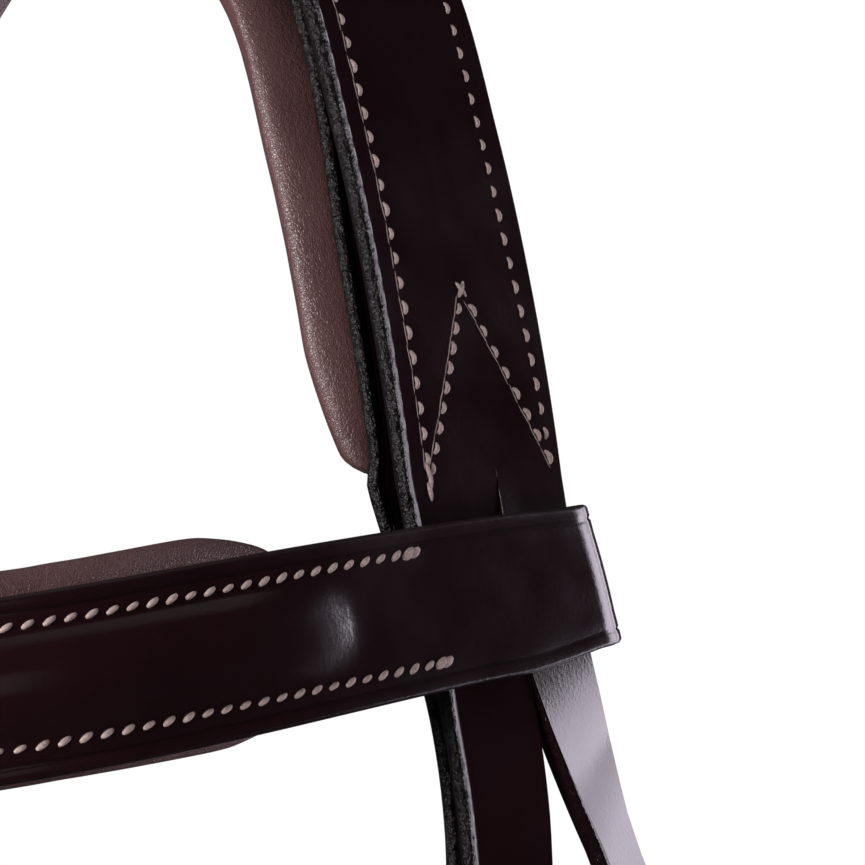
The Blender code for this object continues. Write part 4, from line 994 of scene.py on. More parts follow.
def closed_mesh(name, bm, flat_from=5):
    """A mesh with faces outward, smooth but for caps with more than flat_from corners."""
    bmesh.ops.recalc_face_normals(bm, faces=bm.faces)
    for face in bm.faces:
        face.smooth = len(face.verts) < flat_from
    mesh = bpy.data.meshes.new(name)
    bm.to_mesh(mesh)
    bm.free()
    return mesh


def baked(thing):
    """The plain mesh that an object's modifiers give; the object itself goes."""
    depsgraph = bpy.context.evaluated_depsgraph_get()
    mesh = bpy.data.meshes.new_from_object(thing.evaluated_get(depsgraph), depsgraph=depsgraph)
    old = thing.data
    mesh.name = old.name
    bpy.data.objects.remove(thing)
    bpy.data.meshes.remove(old)
    return mesh


def held(mesh):
    """A working object for a mesh, to carry modifiers for a moment."""
    thing = bpy.data.objects.new(mesh.name + "_work", mesh)
    bpy.context.scene.collection.objects.link(thing)
    return thing


def prism(bm, place, half_along, half_across, depth):
    """An upright round or long-round pin, for punching through leather."""
    rings = []
    for out in (-depth, depth):
        points = []
        for i in range(HOLE_SIDES):
            angle = math.tau * (i + 0.5) / HOLE_SIDES
            along = math.cos(angle) * half_across
            along += math.copysign(half_along - half_across, along)
            points.append(place.at(along, math.sin(angle) * half_across, out))
        rings.append(points)
    loft(bm, rings)


def punched(mesh, holes):
    """The mesh with its (place, half length, half width, depth) holes cut through it."""
    bm = bmesh.new()
    for hole in holes:
        prism(bm, *hole)
    pins = held(closed_mesh("pins", bm))
    work = held(mesh)
    cut = work.modifiers.new("holes", "BOOLEAN")
    cut.operation = "DIFFERENCE"
    cut.solver = "EXACT"
    cut.object = pins
    result = baked(work)
    pin_mesh = pins.data
    bpy.data.objects.remove(pins)
    bpy.data.meshes.remove(pin_mesh)
    return result


# Strap skins
def profile(half, leather, swell, crease, left=1.0, right=1.0, lined=False, round_share=EDGE_ROUND_SHARE,
            margins=(0.0, 0.0)):
    """One strap section as (across, level, edge, painted groove shade, under), from the left edge over the face and
    back.

    Left and right say how far each edge is rounded off, from 0, square, to 1; the swell starts at the margins.
    """
    thick = leather / 2
    rise = swell if callable(swell) else lambda share: swell
    fit = min(1.0, half / (3 * CREASE_INSET))
    top, low = [], []
    for sign, soft, margin in ((-1, left, margins[0]), (1, right, margins[1])):
        side = leather * round_share * fit * max(soft, 0.02)
        dip = CREASE_DEPTH * (fit * soft if crease else 0.0)
        width = CREASE_HALF_WIDTH * fit
        inset = crease * fit or side * 1.15 + width
        points = []
        for degrees, edge in EDGE_ARC:
            angle = math.radians(degrees)
            points.append((side * (1 - math.cos(angle)), thick * math.sin(angle), edge * soft, 0.0))
        # the crease points carry the painted groove shade: a little at its sides, full at its dip
        points += [(inset - width, thick, 0.0, 0.1 * soft), (inset, thick - dip, 0.0, soft if dip else 0.0),
                   (inset + width, thick, 0.0, 0.1 * soft)]
        foot = max(inset + width, margin)
        points += [(foot + (half - foot) * share, thick + rise(share) * lift, 0.0, 0.0)
                   for share, lift in SWELL_SHARES]
        top.append([(sign * (half - w), n, edge, groove_shade, 0.0) for w, n, edge, groove_shade in points])
        if lined:
            low.append([(w, -n, edge, groove_shade, 0.0) for w, n, edge, groove_shade, _ in top[-1][1:]])
            continue
        under = []
        for degrees, edge in BACK_ARC:
            angle = math.radians(degrees)
            under.append((sign * (half - side * (1 - math.cos(angle))), -thick * math.sin(angle), edge * soft,
                          0.0, 1.0))
        low.append(under)
    middle = [(0.0, thick + rise(1.0), 0.0, 0.0, 0.0)]
    below = [(0.0, -thick - (rise(1.0) if lined else 0.0), 0.0, 0.0, 0.0 if lined else 1.0)]
    return top[0] + middle + top[1][::-1] + low[1] + below + low[0][::-1]


def refined(cuts):
    """The same cuts with more between them on one smooth curve."""
    points = [cut[0] for cut in cuts]
    lengths = [(b - a).length for a, b in zip(points, points[1:])]
    rates = slopes(points, lengths)
    fine = []
    for i, length in enumerate(lengths):
        count = max(1, round(length / SKIN_STEP))
        for k in range(count):
            share = k / count
            point = hermite(points[i], points[i + 1], rates[i], rates[i + 1], length, share)
            across = cuts[i][1].lerp(cuts[i + 1][1], share).normalized()
            fine.append((point, across, cuts[i][2] + (cuts[i + 1][2] - cuts[i][2]) * share))
    return fine + [cuts[-1]]


def frames(cuts, closed=False):
    """At each cut: its point, across, out (longer where the strap bends, to keep its thickness), way walked."""
    found, before, walked = [], None, 0.0
    last = len(cuts) - 1
    for i, (point, across, _) in enumerate(cuts):
        back = point - cuts[i - 1][0] if i or closed else None
        ahead = cuts[(i + 1) % len(cuts)][0] - point if i < last or closed else None
        walked += back.length if i else 0.0
        back, ahead = (back or ahead).normalized(), (ahead or back).normalized()
        out = (back + ahead).normalized().cross(across).normalized()
        if before is not None and out.dot(before) < 0:
            out = -out
        before = out
        found.append((point, across, out / max(math.cos(back.angle(ahead) / 2), MITRE_LIMIT), walked))
    return found


def skin_rings(cuts, leather, swell, crease, closed=False, sides=None, **words):
    """Rings of points with their marks, one for each cut."""
    rings, marks = [], []
    for (point, across, out, walked), cut in zip(frames(cuts, closed), cuts):
        rise = swell(walked, point) if callable(swell) else swell
        left, right = sides(walked) if sides else (1.0, 1.0)
        section = profile(cut[2], leather, rise, crease, left, right, **words)
        rings.append([point + across * s[0] + out * s[1] for s in section])
        marks.append([s[2:] for s in section])
    return rings, marks


def marked_mesh(name, bm, marks):
    """A closed mesh that carries its edge, painted groove shade and underside marks."""
    mesh = closed_mesh(name, bm)
    flat = [mark for ring in marks for mark in ring]
    for k, key in enumerate(("edge", "groove_shade", "under")):
        layer = mesh.attributes.new(key, "FLOAT", "POINT")
        layer.data.foreach_set("value", [mark[k] for mark in flat])
    return mesh


def turned_out(cuts, toward):
    """The cuts, or the same ones seen from their other face, so that the face looks towards a direction."""
    point, across, _ = cuts[0]
    along = (cuts[1][0] - point).normalized()
    if along.cross(across).dot(toward) > 0:
        return cuts
    return [(p, -a, h) for p, a, h in cuts]


def strap_mesh(name, cuts, leather, swell=FACE_SWELL, crease=CREASE_INSET, toward=None, **words):
    cuts = turned_out(refined(cuts), toward) if toward is not None else refined(cuts)
    rings, marks = skin_rings(cuts, leather, swell, crease, **words)
    bm = bmesh.new()
    loft(bm, rings)
    return marked_mesh(name, bm, marks)


def strap(node, cuts, leather, slot="strap_leather", finish=None, holes=(), lined=True, **words):
    mesh = strap_mesh(node, cuts, leather, lined=lined, **words)
    if holes:
        mesh = punched(mesh, holes)
    return piece(node + ".leather", mesh, finish or HAVANA, node)


# Stitches
def stitching_tree():
    """Lays one bent thread on every point, along its heading and out of its face."""
    group = bpy.data.node_groups.new("stitching", "GeometryNodeTree")
    for label, kind, value in (
        ("Points", "Geometry", None), ("Length", "Float", STITCH_LENGTH), ("Thickness", "Float", STITCH_THICKNESS),
        ("Rise", "Float", STITCH_RISE), ("Bow", "Float", STITCH_BOW), ("Slant", "Float", 0.0),
        ("Unevenness", "Float", STITCH_UNEVENNESS), ("Seed", "Int", STITCH_SEED), ("Thread", "Material", None),
    ):
        socket = group.interface.new_socket(label, in_out="INPUT", socket_type="NodeSocket" + kind)
        if value is not None:
            socket.default_value = value
    group.interface.new_socket("Stitches", in_out="OUTPUT", socket_type="NodeSocketGeometry")
    tree = Tree(group)
    given = tree.add("NodeGroupInput").outputs

    def spot(x, y, z):
        return tree.add("ShaderNodeCombineXYZ", {"X": x, "Y": y, "Z": z}).outputs[0]

    def named(label):
        return tree.add("GeometryNodeInputNamedAttribute", {"Name": label}, data_type="FLOAT_VECTOR").outputs[0]

    half = tree.maths("MULTIPLY", given["Length"], 0.5)
    sunk = tree.maths("MULTIPLY", given["Thickness"], -0.55)
    back = tree.maths("MULTIPLY", given["Bow"], -0.5)
    crest = tree.maths("MULTIPLY", given["Rise"], 2.0)
    arc = tree.add("GeometryNodeCurveQuadraticBezier", {
        "Resolution": 6, "Start": spot(tree.maths("MULTIPLY", half, -1.0), back, sunk),
        "Middle": spot(0.0, given["Bow"], crest), "End": spot(half, back, sunk),
    })
    part = tree.add("GeometryNodeSplineParameter").outputs["Factor"]
    belly = tree.maths("MULTIPLY", tree.maths("MULTIPLY", part, tree.maths("SUBTRACT", 1.0, part)), 4.0)
    thread = tree.add("GeometryNodeCurvePrimitiveCircle", {
        "Resolution": 7, "Radius": tree.maths("MULTIPLY", given["Thickness"], 0.5),
    })
    tube = tree.add("GeometryNodeCurveToMesh", {
        "Curve": arc.outputs["Curve"], "Profile Curve": thread.outputs["Curve"],
        "Scale": tree.maths("POWER", tree.maths("ADD", belly, 0.05), 0.45), "Fill Caps": True,
    })
    stitch = tree.add("GeometryNodeSetShadeSmooth", {"Geometry": tube.outputs["Mesh"]})
    upright_turn = tree.add("FunctionNodeAlignRotationToVector", {"Vector": named("outward")}, axis="Z")
    along_turn = tree.add("FunctionNodeAlignRotationToVector", {
        "Rotation": upright_turn.outputs["Rotation"], "Vector": named("heading"),
    }, axis="X", pivot_axis="Z")
    low = tree.maths("MULTIPLY", given["Unevenness"], -1.0)
    chance = tree.add("FunctionNodeRandomValue", {2: low, 3: given["Unevenness"], "Seed": given["Seed"]},
                      data_type="FLOAT")
    drawn = [s for s in chance.outputs if s.type == "VALUE"][0]
    leaning = tree.add("FunctionNodeRotateRotation", {
        "Rotation": along_turn.outputs["Rotation"],
        "Rotate By": spot(0.0, 0.0, tree.maths("ADD", given["Slant"], drawn)),
    }, rotation_space="LOCAL")
    laid = tree.add("GeometryNodeInstanceOnPoints", {
        "Points": given["Points"], "Instance": stitch.outputs["Geometry"], "Rotation": leaning.outputs["Rotation"],
        "Scale": tree.maths("ADD", 1.0, drawn),
    })
    real = tree.add("GeometryNodeRealizeInstances", {"Geometry": laid.outputs["Instances"]})
    dressed = tree.add("GeometryNodeSetMaterial", {
        "Geometry": real.outputs["Geometry"], "Material": given["Thread"],
    })
    tree.add("NodeGroupOutput", {"Stitches": dressed.outputs["Geometry"]})
    return group


STITCHING = stitching_tree()


def seated(spots, leather):
    """The spots moved along their outward direction onto a piece of leather, and turned to its face."""
    faces = leather.data
    tree = BVHTree.FromPolygons([v.co for v in faces.vertices], [p.vertices for p in faces.polygons])
    found = []
    for point, heading, outward in spots:
        at, normal, _, _ = tree.ray_cast(point + outward * SEAT_REACH, -outward, 2 * SEAT_REACH)
        if at is not None and normal.dot(outward) > SEAT_FACING:
            heading = (heading - normal * heading.dot(normal)).normalized()
            found.append((at, heading, normal))
    return found


def stitches(name, spots, seat=None, **sizes):
    """One piece of thread from (point, heading, outward) spots."""
    spots = seated(spots, seat) if seat else spots
    mesh = bpy.data.meshes.new(name)
    mesh.from_pydata([s[0] for s in spots], [], [])
    for k, label in ((1, "heading"), (2, "outward")):
        layer = mesh.attributes.new(label, "FLOAT_VECTOR", "POINT")
        layer.data.foreach_set("vector", [c for s in spots for c in s[k]])
    work = held(mesh)
    sewing = work.modifiers.new("stitching", "NODES")
    sewing.node_group = STITCHING
    keys = {item.name: item.identifier for item in STITCHING.interface.items_tree if item.in_out == "INPUT"}
    for label, value in sizes.items():
        sewing[keys[label]] = value
    sewing[keys["Thread"]] = THREAD
    sewn = baked(work)
    return piece(name + ".thread", sewn, THREAD)


def fine_stitches(name, spots):
    stitches(name, spots, Length=FINE_STITCH)


def sewn_row(run, path, level, pitch=STITCH_PITCH, flip=False):
    """Spots at even steps on a line of (length, across) corners of a run."""
    spots, left = [], 0.0
    for (s0, w0), (s1, w1) in zip(path, path[1:]):
        span = math.hypot(s1 - s0, w1 - w0)
        at = left
        while at < span:
            share = at / span
            here = run.place(s0 + (s1 - s0) * share).at(0, w0 + (w1 - w0) * share, level)
            share = min(share + HEADING_STEP / span, 1.0)
            near = run.place(s0 + (s1 - s0) * share)
            there = near.at(0, w0 + (w1 - w0) * share, level)
            heading = (there - here).normalized() if (there - here).length > 0 else near.along
            spots.append((here, heading, -near.out if flip else near.out))
            at += pitch
        left = at - span
    return spots


def mirror_spots(spots):
    return [tuple(flipped(v) for v in spot) for spot in spots]


def both(spots):
    return spots + mirror_spots(spots)


# The headpiece
def billet_cuts(run, width, bar_at, front, rear):
    """Cuts of a billet down to its buckle: it narrows from its part of the crown and bulges over the slit."""
    split = run.marks[1]
    start = run.place(split)
    middle = start.point.y / start.across.y
    first_side, other_side = EDGE_NARROWING, SLIT_NARROWING
    if run is THROAT:
        first_side, other_side = other_side, first_side
    cuts = []
    for s in run.steps(split, bar_at - BUCKLE_APPROACH)[:-1]:
        place = run.place(s)
        low = -width / 2 + (front - middle + width / 2) * (1 - smooth((s - split) / first_side))
        high = width / 2 + (rear - middle - width / 2) * (1 - smooth((s - split) / other_side))
        share = min((s - split) / SLIT_COVERED, 1.0)
        cover = SLIT_COVER * 4 * share * (1 - share)
        low, high = (low - cover, high) if run is THROAT else (low, high + cover)
        cuts.append((place.at(0, (low + high) / 2, 0), place.across, (high - low) / 2))
    return cuts


def headpiece():
    """One skin over the poll, slit at each end into a cheek billet and a throat billet."""
    slit = CHEEK_WIDTH - CROWN_REAR
    spans = ((-CROWN_FRONT - CROWN_SPARE, slit), (slit, CROWN_REAR))
    bm = bmesh.new()
    layer = bm.verts.layers.float_vector.new("marks")

    def grow(point, mark):
        vert = bm.verts.new(point)
        vert[layer] = mark
        return vert

    def section_points(frame_at, section):
        point, across, out = frame_at[:3]
        return [(point + across * s[0] + out * s[1], s[2:]) for s in section]

    flat = []
    for (front, rear), sides in zip(spans, ((1.0, 0.0), (0.0, REAR_ROUND))):
        section = profile((rear - front) / 2, STRAP_LEATHER, 0.0, 0.0, *sides, round_share=CROWN_ROUND)
        flat.append([(s[0] + (front + rear) / 2,) + s[1:] for s in section])
    crown = []
    for s in CROWN_STEPS:
        place = CROWN.place(s)
        crown.append((place.point, place.across, 0.0))
    rings = []
    for frame_at in frames(refined(crown)):
        cheek, throat = (section_points(frame_at, section) for section in flat)
        rings.append([grow(*spot) for spot in cheek[:FACE_END] + throat[3:-1] + cheek[UNDER_START:]])
    for a, b in zip(rings, rings[1:]):
        bridge(bm, a, b)
    end, (cheek, throat) = rings[-1], (section_points(frame_at, section) for section in flat)
    shared = FACE_END + len(throat) - 4
    cheek_root = end[:FACE_END] + [grow(*spot) for spot in cheek[FACE_END:UNDER_START]] + end[shared:]
    throat_root = [grow(*spot) for spot in throat[:3]] + end[FACE_END:shared] + [grow(*throat[-1])]
    for a, b in zip(range(5), range(1, 6)):
        bm.faces.new((cheek_root[CHEEK_WALL[a]], throat_root[THROAT_WALL[a]],
                      throat_root[THROAT_WALL[b]], cheek_root[CHEEK_WALL[b]]))
    for root, run, width, bar, bar_at, span in (
        (cheek_root, CHEEK, CHEEK_WIDTH, CHEEK_BUCKLE, CHEEK_BAR, spans[0]),
        (throat_root, THROAT, THROAT_WIDTH, THROAT_BUCKLE, THROAT_BAR, spans[1]),
    ):
        tail = refined(billet_cuts(run, width, bar_at, *span) + buckled_tip(STRAP_LEATHER, width, bar, CHEEK_TIP))

        def sides(walked, inner_first=run is THROAT):
            opened = smooth(walked / SLIT_OPENING)
            return (opened, REAR_ROUND) if inner_first else (1.0, opened * REAR_ROUND)

        tail_rings, tail_marks = skin_rings(tail, STRAP_LEATHER, 0.0, 0.0, sides=sides, round_share=CROWN_ROUND)
        before = root
        for points, row in list(zip(tail_rings, tail_marks))[1:]:
            ring = [grow(*spot) for spot in zip(points, row)]
            bridge(bm, before, ring)
            before = ring
        bm.faces.new(before)
    near = bm.verts[:] + bm.edges[:] + bm.faces[:]
    twin = bmesh.ops.duplicate(bm, geom=near)["geom"]
    for vert in [v for v in twin if isinstance(v, bmesh.types.BMVert)]:
        vert.co.x = -vert.co.x
    bmesh.ops.reverse_faces(bm, faces=[f for f in twin if isinstance(f, bmesh.types.BMFace)])
    bmesh.ops.remove_doubles(bm, verts=[v for v in bm.verts if abs(v.co.x) < GAP], dist=GAP / 30)
    mesh = marked_mesh("headpiece", bm, [[tuple(v[layer]) for v in bm.verts]])
    holes = []
    for run, bar, start in ((CHEEK, CHEEK_BUCKLE, CHEEK_BAR), (THROAT, THROAT_BUCKLE, THROAT_BAR)):
        for place in (bar, bar.mirrored()):
            holes.append(tongue_hole(place, STRAP_LEATHER))
        tip = run.place(start + TIP_HOLE_PLACE).raised(over_chape(STRAP_LEATHER))
        for place in (tip, tip.mirrored()):
            holes.append((place, HOLE_RADIUS, HOLE_RADIUS, OVERRUN))
    return piece("headpiece.leather", punched(mesh, holes), HAVANA, "headpiece")


def headpiece_stitches(leather):
    """A row inside each edge over the poll, and a V that closes them above each slit."""
    level = STRAP_LEATHER / 2
    front = sewn_row(CROWN, [(CROWN_TOP, ROW_FRONT), V_FRONT_END], level, CROWN_PITCH)
    rear = sewn_row(CROWN, [(CROWN_TOP, ROW_REAR), (ROW_STRAIGHT_END, ROW_REAR), V_REAR_END], level, CROWN_PITCH)
    vee = sewn_row(CROWN, [V_APEX, V_FRONT_END], level, VEE_PITCH)[1:]
    vee += sewn_row(CROWN, [V_APEX, V_REAR_END], level)[1:]
    spots = both(front + rear + vee)
    stitches("headpiece", spots, leather, **HEAD_STITCH)
    strands = [(point + heading.cross(outward).normalized() * STRAND_ASIDE, heading, outward)
               for point, heading, outward in both(front + vee)]
    stitches("headpiece_strands", strands, leather, **HEAD_STRAND)
    knots = []
    for (s, w), ties in ((V_APEX, ((0.0, 0.0, 0.8), (0.0, 0.0, -0.8))),
                         (V_FRONT_END, ((-0.0016, 0.0, 0.25), (0.0, 0.0002, -0.2), (0.0014, -0.0001, 0.15)))):
        place = CROWN.place(s)
        for ahead, aside, lean in ties:
            knots.append((place.at(ahead, w + aside, level), (place.along + place.across * lean).normalized(),
                          place.out))
    stitches("headpiece_knots", both(knots), leather, **HEAD_KNOT)


def lining():
    front, rear = -CROWN_FRONT + LINING_RECESS, CROWN_REAR - LINING_MARGIN
    cuts = crown_cuts(rear - front, LINING_LEVEL, (front + rear) / 2)
    for s in (CROWN_SPLIT, CROWN_SPLIT + LINING_TAIL):
        place = CROWN.place(s)
        cuts.append((place.at(0, (front + rear) / 2, LINING_LEVEL), place.across, (rear - front) / 2))
    cuts = mirrored(reversed(cuts[-2:])) + cuts
    strap("headpiece_lining", cuts, LINING_LEATHER, slot="lining_leather", finish=LINING, crease=0.0,
          swell=0.0, round_share=CROWN_ROUND)


# Pads
def rounded_section(section):
    """The section with its corners cut off again and again, for a soft outline."""
    for _ in range(SECTION_CUTS):
        soft = []
        for a, b in zip(section, section[1:] + section[:1]):
            soft.append(tuple(p * 0.75 + q * 0.25 for p, q in zip(a, b)))
            soft.append(tuple(p * 0.25 + q * 0.75 for p, q in zip(a, b)))
        section = tuple(soft)
    return section


def capped(rings):
    """The rings with smaller ones inside the first and the last, so that the ends are even too."""
    whole = [list(ring) for ring in rings]
    for end in (0, -1):
        middle = sum(rings[end], Vector()) / len(rings[end])
        for share in reversed(PAD_CAP_SHARES):
            ring = [middle.lerp(point, share) for point in rings[end]]
            whole.insert(0, ring) if end == 0 else whole.append(ring)
    return whole


def pad_mesh(name, places, section, half_width, thickness, ends):
    bm = bmesh.new()
    total = sum((b.point - a.point).length for a, b in zip(places, places[1:]))
    walked, rings = 0.0, []
    for i, place in enumerate(places):
        walked += (place.point - places[i - 1].point).length if i else 0.0
        from_end = min(walked, total - walked) / half_width
        width_share, thick_share = pad_end(from_end, ends)
        rings.append([
            place.at(0, w * half_width * width_share, -n * thickness * (thick_share if n > 0 else 1.0))
            for w, n in section
        ])
    loft(bm, capped(rings))
    return closed_mesh(name, bm)


def close_places(places):
    """More places between the given ones."""
    fine = []
    for a, b in zip(places, places[1:]):
        count = max(1, round((b.point - a.point).length / PAD_STEP))
        for k in range(count):
            share = k / count
            fine.append(Place(a.point.lerp(b.point, share), a.along.lerp(b.along, share).normalized(),
                              a.across.lerp(b.across, share).normalized(), a.out.lerp(b.out, share).normalized()))
    return fine + [places[-1]]


def plumped(mesh):
    """Stuffs a pad: its skin swells under pressure as cloth, no further than the cap, and is smoothed once."""
    work = held(mesh)
    skin = work.modifiers.new("skin", "CLOTH")
    skin.settings.use_pressure = True
    skin.settings.uniform_pressure_force = PAD_PRESSURE
    skin.settings.effector_weights.gravity = 0.0
    skin.settings.quality = PAD_CLOTH_QUALITY
    skin.point_cache.frame_start = 1
    skin.point_cache.frame_end = PAD_FRAMES
    for number in range(1, PAD_FRAMES + 1):
        bpy.context.scene.frame_set(number)
    depsgraph = bpy.context.evaluated_depsgraph_get()
    swollen = [v.co.copy() for v in work.evaluated_get(depsgraph).data.vertices]
    work.modifiers.remove(skin)
    for vertex, target in zip(mesh.vertices, swollen):
        moved = target - vertex.co
        if moved.length > PAD_SWELL_CAP:
            moved *= PAD_SWELL_CAP / moved.length
        vertex.co += moved
    bpy.data.objects.remove(work)
    bpy.context.scene.frame_set(1)
    work = held(mesh)
    soft = work.modifiers.new("soft", "SUBSURF")
    soft.levels = soft.render_levels = 1
    mesh = baked(work)
    for polygon in mesh.polygons:
        polygon.use_smooth = True
    return mesh


def crown_pad():
    end = CROWN_TOP + (CROWN_SPLIT - CROWN_TOP) * CROWN_PAD_END_SHARE
    steps = [s for s in reversed(CROWN_STEPS) if s < end]
    near = pad_places(CROWN, steps, end, PAD_LEVEL - GAP, CROWN_PAD_HALF_WIDTH)
    mesh = pad_mesh("headpiece_pad", close_places(both_sides(near)), rounded_section(CROWN_PAD_SHARES),
                    CROWN_PAD_HALF_WIDTH, CROWN_PAD_THICKNESS, CROWN_END_SHARES)
    pad = piece("headpiece_pad.nappa", plumped(mesh), NAPPA, "headpiece_pad")


def browband():
    """The band across the forehead; each end goes round the billets and sliphead and back to the band."""
    loop_out, behind = BROW.marks[1], BROW.marks[3]
    base, rear = BROW.place(loop_out), BROW.place(BROW.marks[0])
    up = upright(base)
    rear_reach = (rear.point - base.point).length
    billet = CHEEK.place(CHEEK.marks[2]).point
    inner = (billet - base.point).dot(base.out) + SLIP_LEVEL - NOSE_LEATHER / 2 - PLAY - BROW_LEATHER / 2
    corner = BROW_LEATHER * LOOP_CORNER_SHARE
    soft = corner * LOOP_SOFT_SHARE
    turn, rearmost = LOOP_TURN_SHARES
    tail, last = LOOP_INNER_SHARES
    loop = [(rear_reach + corner * along, out) for along, out in (
        (-0.5, 0.0), (0.3, -soft * 0.1), (0.85, -soft * 1.1), (rearmost, -corner), (rearmost, inner + corner),
        (turn, inner + soft), (0.0, inner),
    )]
    loop += [(0.0, inner), (-CHEEK_WIDTH * tail, inner), (-CHEEK_WIDTH * last, inner + soft)]
    loop = [spot for k, spot in enumerate(loop) if k == 0 or spot != loop[k - 1]]
    fall = (rear.point - base.point).dot(up)
    cuts = []
    for along, out in loop:
        half = LOOP_SPARE + (LOOP_REAR_WIDTH / 2 if along > rear_reach / 2 else LOOP_WIDTH / 2)
        raised = fall * along / rear_reach
        lean = up + base.along * LOOP_LEAN_SHARE if along > rear_reach / 2 else up
        drop = BAND_DROP * (1 - along / rear_reach)
        cuts.append((base.at(-along, 0, out) + up * (raised - drop), lean.normalized(), half))
    level = -(BROW_LEATHER + 2 * GAP)
    first, end = (behind * share for share in LOOP_RETURN_SHARES)
    for s in [s for s in BROW_STEPS if first < s < end]:
        place = BROW.place(s)
        cuts.append((place.at(0, 0, level) - up * BAND_DROP, upright(place), LOOP_WIDTH / 2))
    band = []
    for s in BROW_STEPS:
        share = smooth((s - loop_out) / (behind - loop_out) * 0.5)
        place = BROW.place(s)
        half = LOOP_SPARE * (1 - share) + (LOOP_WIDTH + (BROW_WIDTH - LOOP_WIDTH) * share) / 2
        band.append((place.point - upright(place) * BAND_DROP, upright(place), half))
    near = list(reversed(cuts)) + band
    whole = near + mirrored(reversed(near[:-1]))
    lengths = list(BROW_STEPS)
    points = [BROW.place(s).point for s in lengths]

    def swell(walked, point):
        here = Vector((abs(point.x), point.y, point.z))
        reach, s = min(((p - here).length, s) for p, s in zip(points, lengths))
        place = BROW.place(s)
        s += (here - place.point).dot(place.along)
        if point.y > points[0].y or reach > STEP_LENGTH or off_band(here) > BROW_LEATHER / 2:
            return FACE_SWELL

        def rise(share):
            start = SWELL_FROM + SWELL_CURVE * (1 - share) ** 2
            return FACE_SWELL + BAND_SWELL * (1 - min(max(1 - (s - start) / SWELL_LENGTH, 0.0), 1.0) ** 2)

        return rise

    def off_band(here):
        near = min(range(len(points)), key=lambda k: (points[k] - here).length)
        place = BROW.place(lengths[near])
        return abs((here - place.point).dot(place.out))

    first = turned_out(whole, Vector((-1, 0, 0)))[0]
    margins = (BAND_MARGIN_TOP, BAND_MARGIN_LOW) if first[1].z < 0 else (BAND_MARGIN_LOW, BAND_MARGIN_TOP)
    mesh = strap_mesh("browband", whole, BROW_LEATHER, swell=swell, crease=BAND_CREASE, round_share=BAND_ROUND,
                      margins=margins, toward=Vector((-1, 0, 0)))
    return piece("browband.leather", mesh, HAVANA_BAND, "browband")


def browband_stitches(leather):
    level = BROW_LEATHER / 2
    rows, knots = [], []
    for start, w in BAND_ROW_STARTS:
        rows += sewn_row(BROW, [(start, w), (BROW_MIDDLE, w)], level, BAND_PITCH)
        ends = [(start - BAND_KNOT_REACH, w), (start + BAND_KNOT_REACH, w)]
        knots += sewn_row(BROW, ends, level, 2 * BAND_KNOT_REACH)
    stitches("browband", both(rows), leather, **BAND_STITCH)
    stitches("browband_knots", both(knots), leather, **BAND_KNOT)


def brow_pad():
    """The pad behind the band; it stops short of the loops."""
    level = -(BROW_LEATHER / 2 + 3 * GAP)
    steps = [s for s in BROW_STEPS if s > BROW_PAD_END]
    near = pad_places(BROW, steps, BROW_PAD_END, level - GAP, BROW_PAD_HALF_WIDTH)
    mesh = pad_mesh("browband_pad", close_places(both_sides(near)), rounded_section(BROW_PAD_SHARES),
                    BROW_PAD_HALF_WIDTH, BROW_PAD_THICKNESS, BROW_END_SHARES)
    pad = piece("browband_pad.nappa", plumped(mesh), NAPPA, "browband_pad")


# Straps of the cheeks, throat and nose
def drawn(cut):
    point, across, half = cut
    for (z0, lead0, spare0), (z1, lead1, spare1) in zip(DRAWN, DRAWN[1:]):
        if z0 <= point.z < z1:
            share = smooth((point.z - z0) / (z1 - z0))
            point = point - Vector((0, lead0 + (lead1 - lead0) * share, 0))
            half += spare0 + (spare1 - spare0) * share
            break
    return point, across, half


def sliphead():
    """From its buckled tip on the near side, over the poll, to the far ring."""
    over = crown_cuts(NOSE_WIDTH, SLIP_LEVEL, SLIP_ASIDE, SLIP_LEAD_SHARES[0] * NOSE_WIDTH)
    near = lay(SLIP, SLIP_SPLIT, SLIP_BAR - BUCKLE_APPROACH, NOSE_WIDTH)[:-1]
    near += buckled_tip(NOSE_LEATHER, NOSE_WIDTH, SLIP_BUCKLE, SHORT_TIP)
    far = ring_end(SLIP, SLIP_END, SLIP_SPLIT, 0.0)
    cuts = [drawn(cut) for cut in mirrored(reversed(far)) + over + near]
    strap("sliphead", cuts, NOSE_LEATHER, holes=[tongue_hole(SLIP_BUCKLE, NOSE_LEATHER)], round_share=CROWN_ROUND)
    fine_stitches("sliphead", mirror_spots(ring_rows(SLIP, SLIP_END)))


def end_rows(run, bar, back, leather, width, inside=True):
    """Two rows that hold a turned end down, between its fold and its tip."""
    level = (spread_of(leather) + leather / 2 + FACE_SWELL) * (-1 if inside else 1)
    lead = FOLD_LEAD if back > bar else -FOLD_LEAD
    first, last = sorted((bar + lead, back - math.copysign(ROW_STOP, lead)))
    rows = []
    for w in (-width / 2 + ROW_INSET, width / 2 - ROW_INSET):
        rows += sewn_row(run, [(first, w), (last, w)], level, FINE_PITCH, flip=level < 0)
    return rows


def ring_rows(run, bar):
    back = bar + (RING_RETURN if bar < run.marks[-1] / 2 else -RING_RETURN)
    rows = []
    for inside in (False, True):
        rows += end_rows(run, bar, back, NOSE_LEATHER, NOSE_WIDTH, inside)
    return rows


def slip_cheek():
    """The near side piece between the sliphead's buckle and the ring."""
    middle, inner = (SLIP_BAR + SLIP_END) / 2, -spread_of(NOSE_LEATHER)
    top = chape(SLIP, SLIP_BAR, 1, NOSE_LEATHER, NOSE_WIDTH, inner, middle, back=SHORT_RETURN)
    low = ring_end(SLIP, SLIP_END, middle, inner)
    strap("sliphead_cheek_near", list(reversed(top)) + low[1:], NOSE_LEATHER,
          holes=[chape_slot(SLIP_BUCKLE, NOSE_LEATHER)])
    rows = ring_rows(SLIP, SLIP_END)
    back = SLIP_BAR + SHORT_RUNNER_PLACE - RUNNER_WIDTH
    rows += end_rows(SLIP, SLIP_BAR, back, NOSE_LEATHER, NOSE_WIDTH)
    fine_stitches("sliphead_cheek", rows)


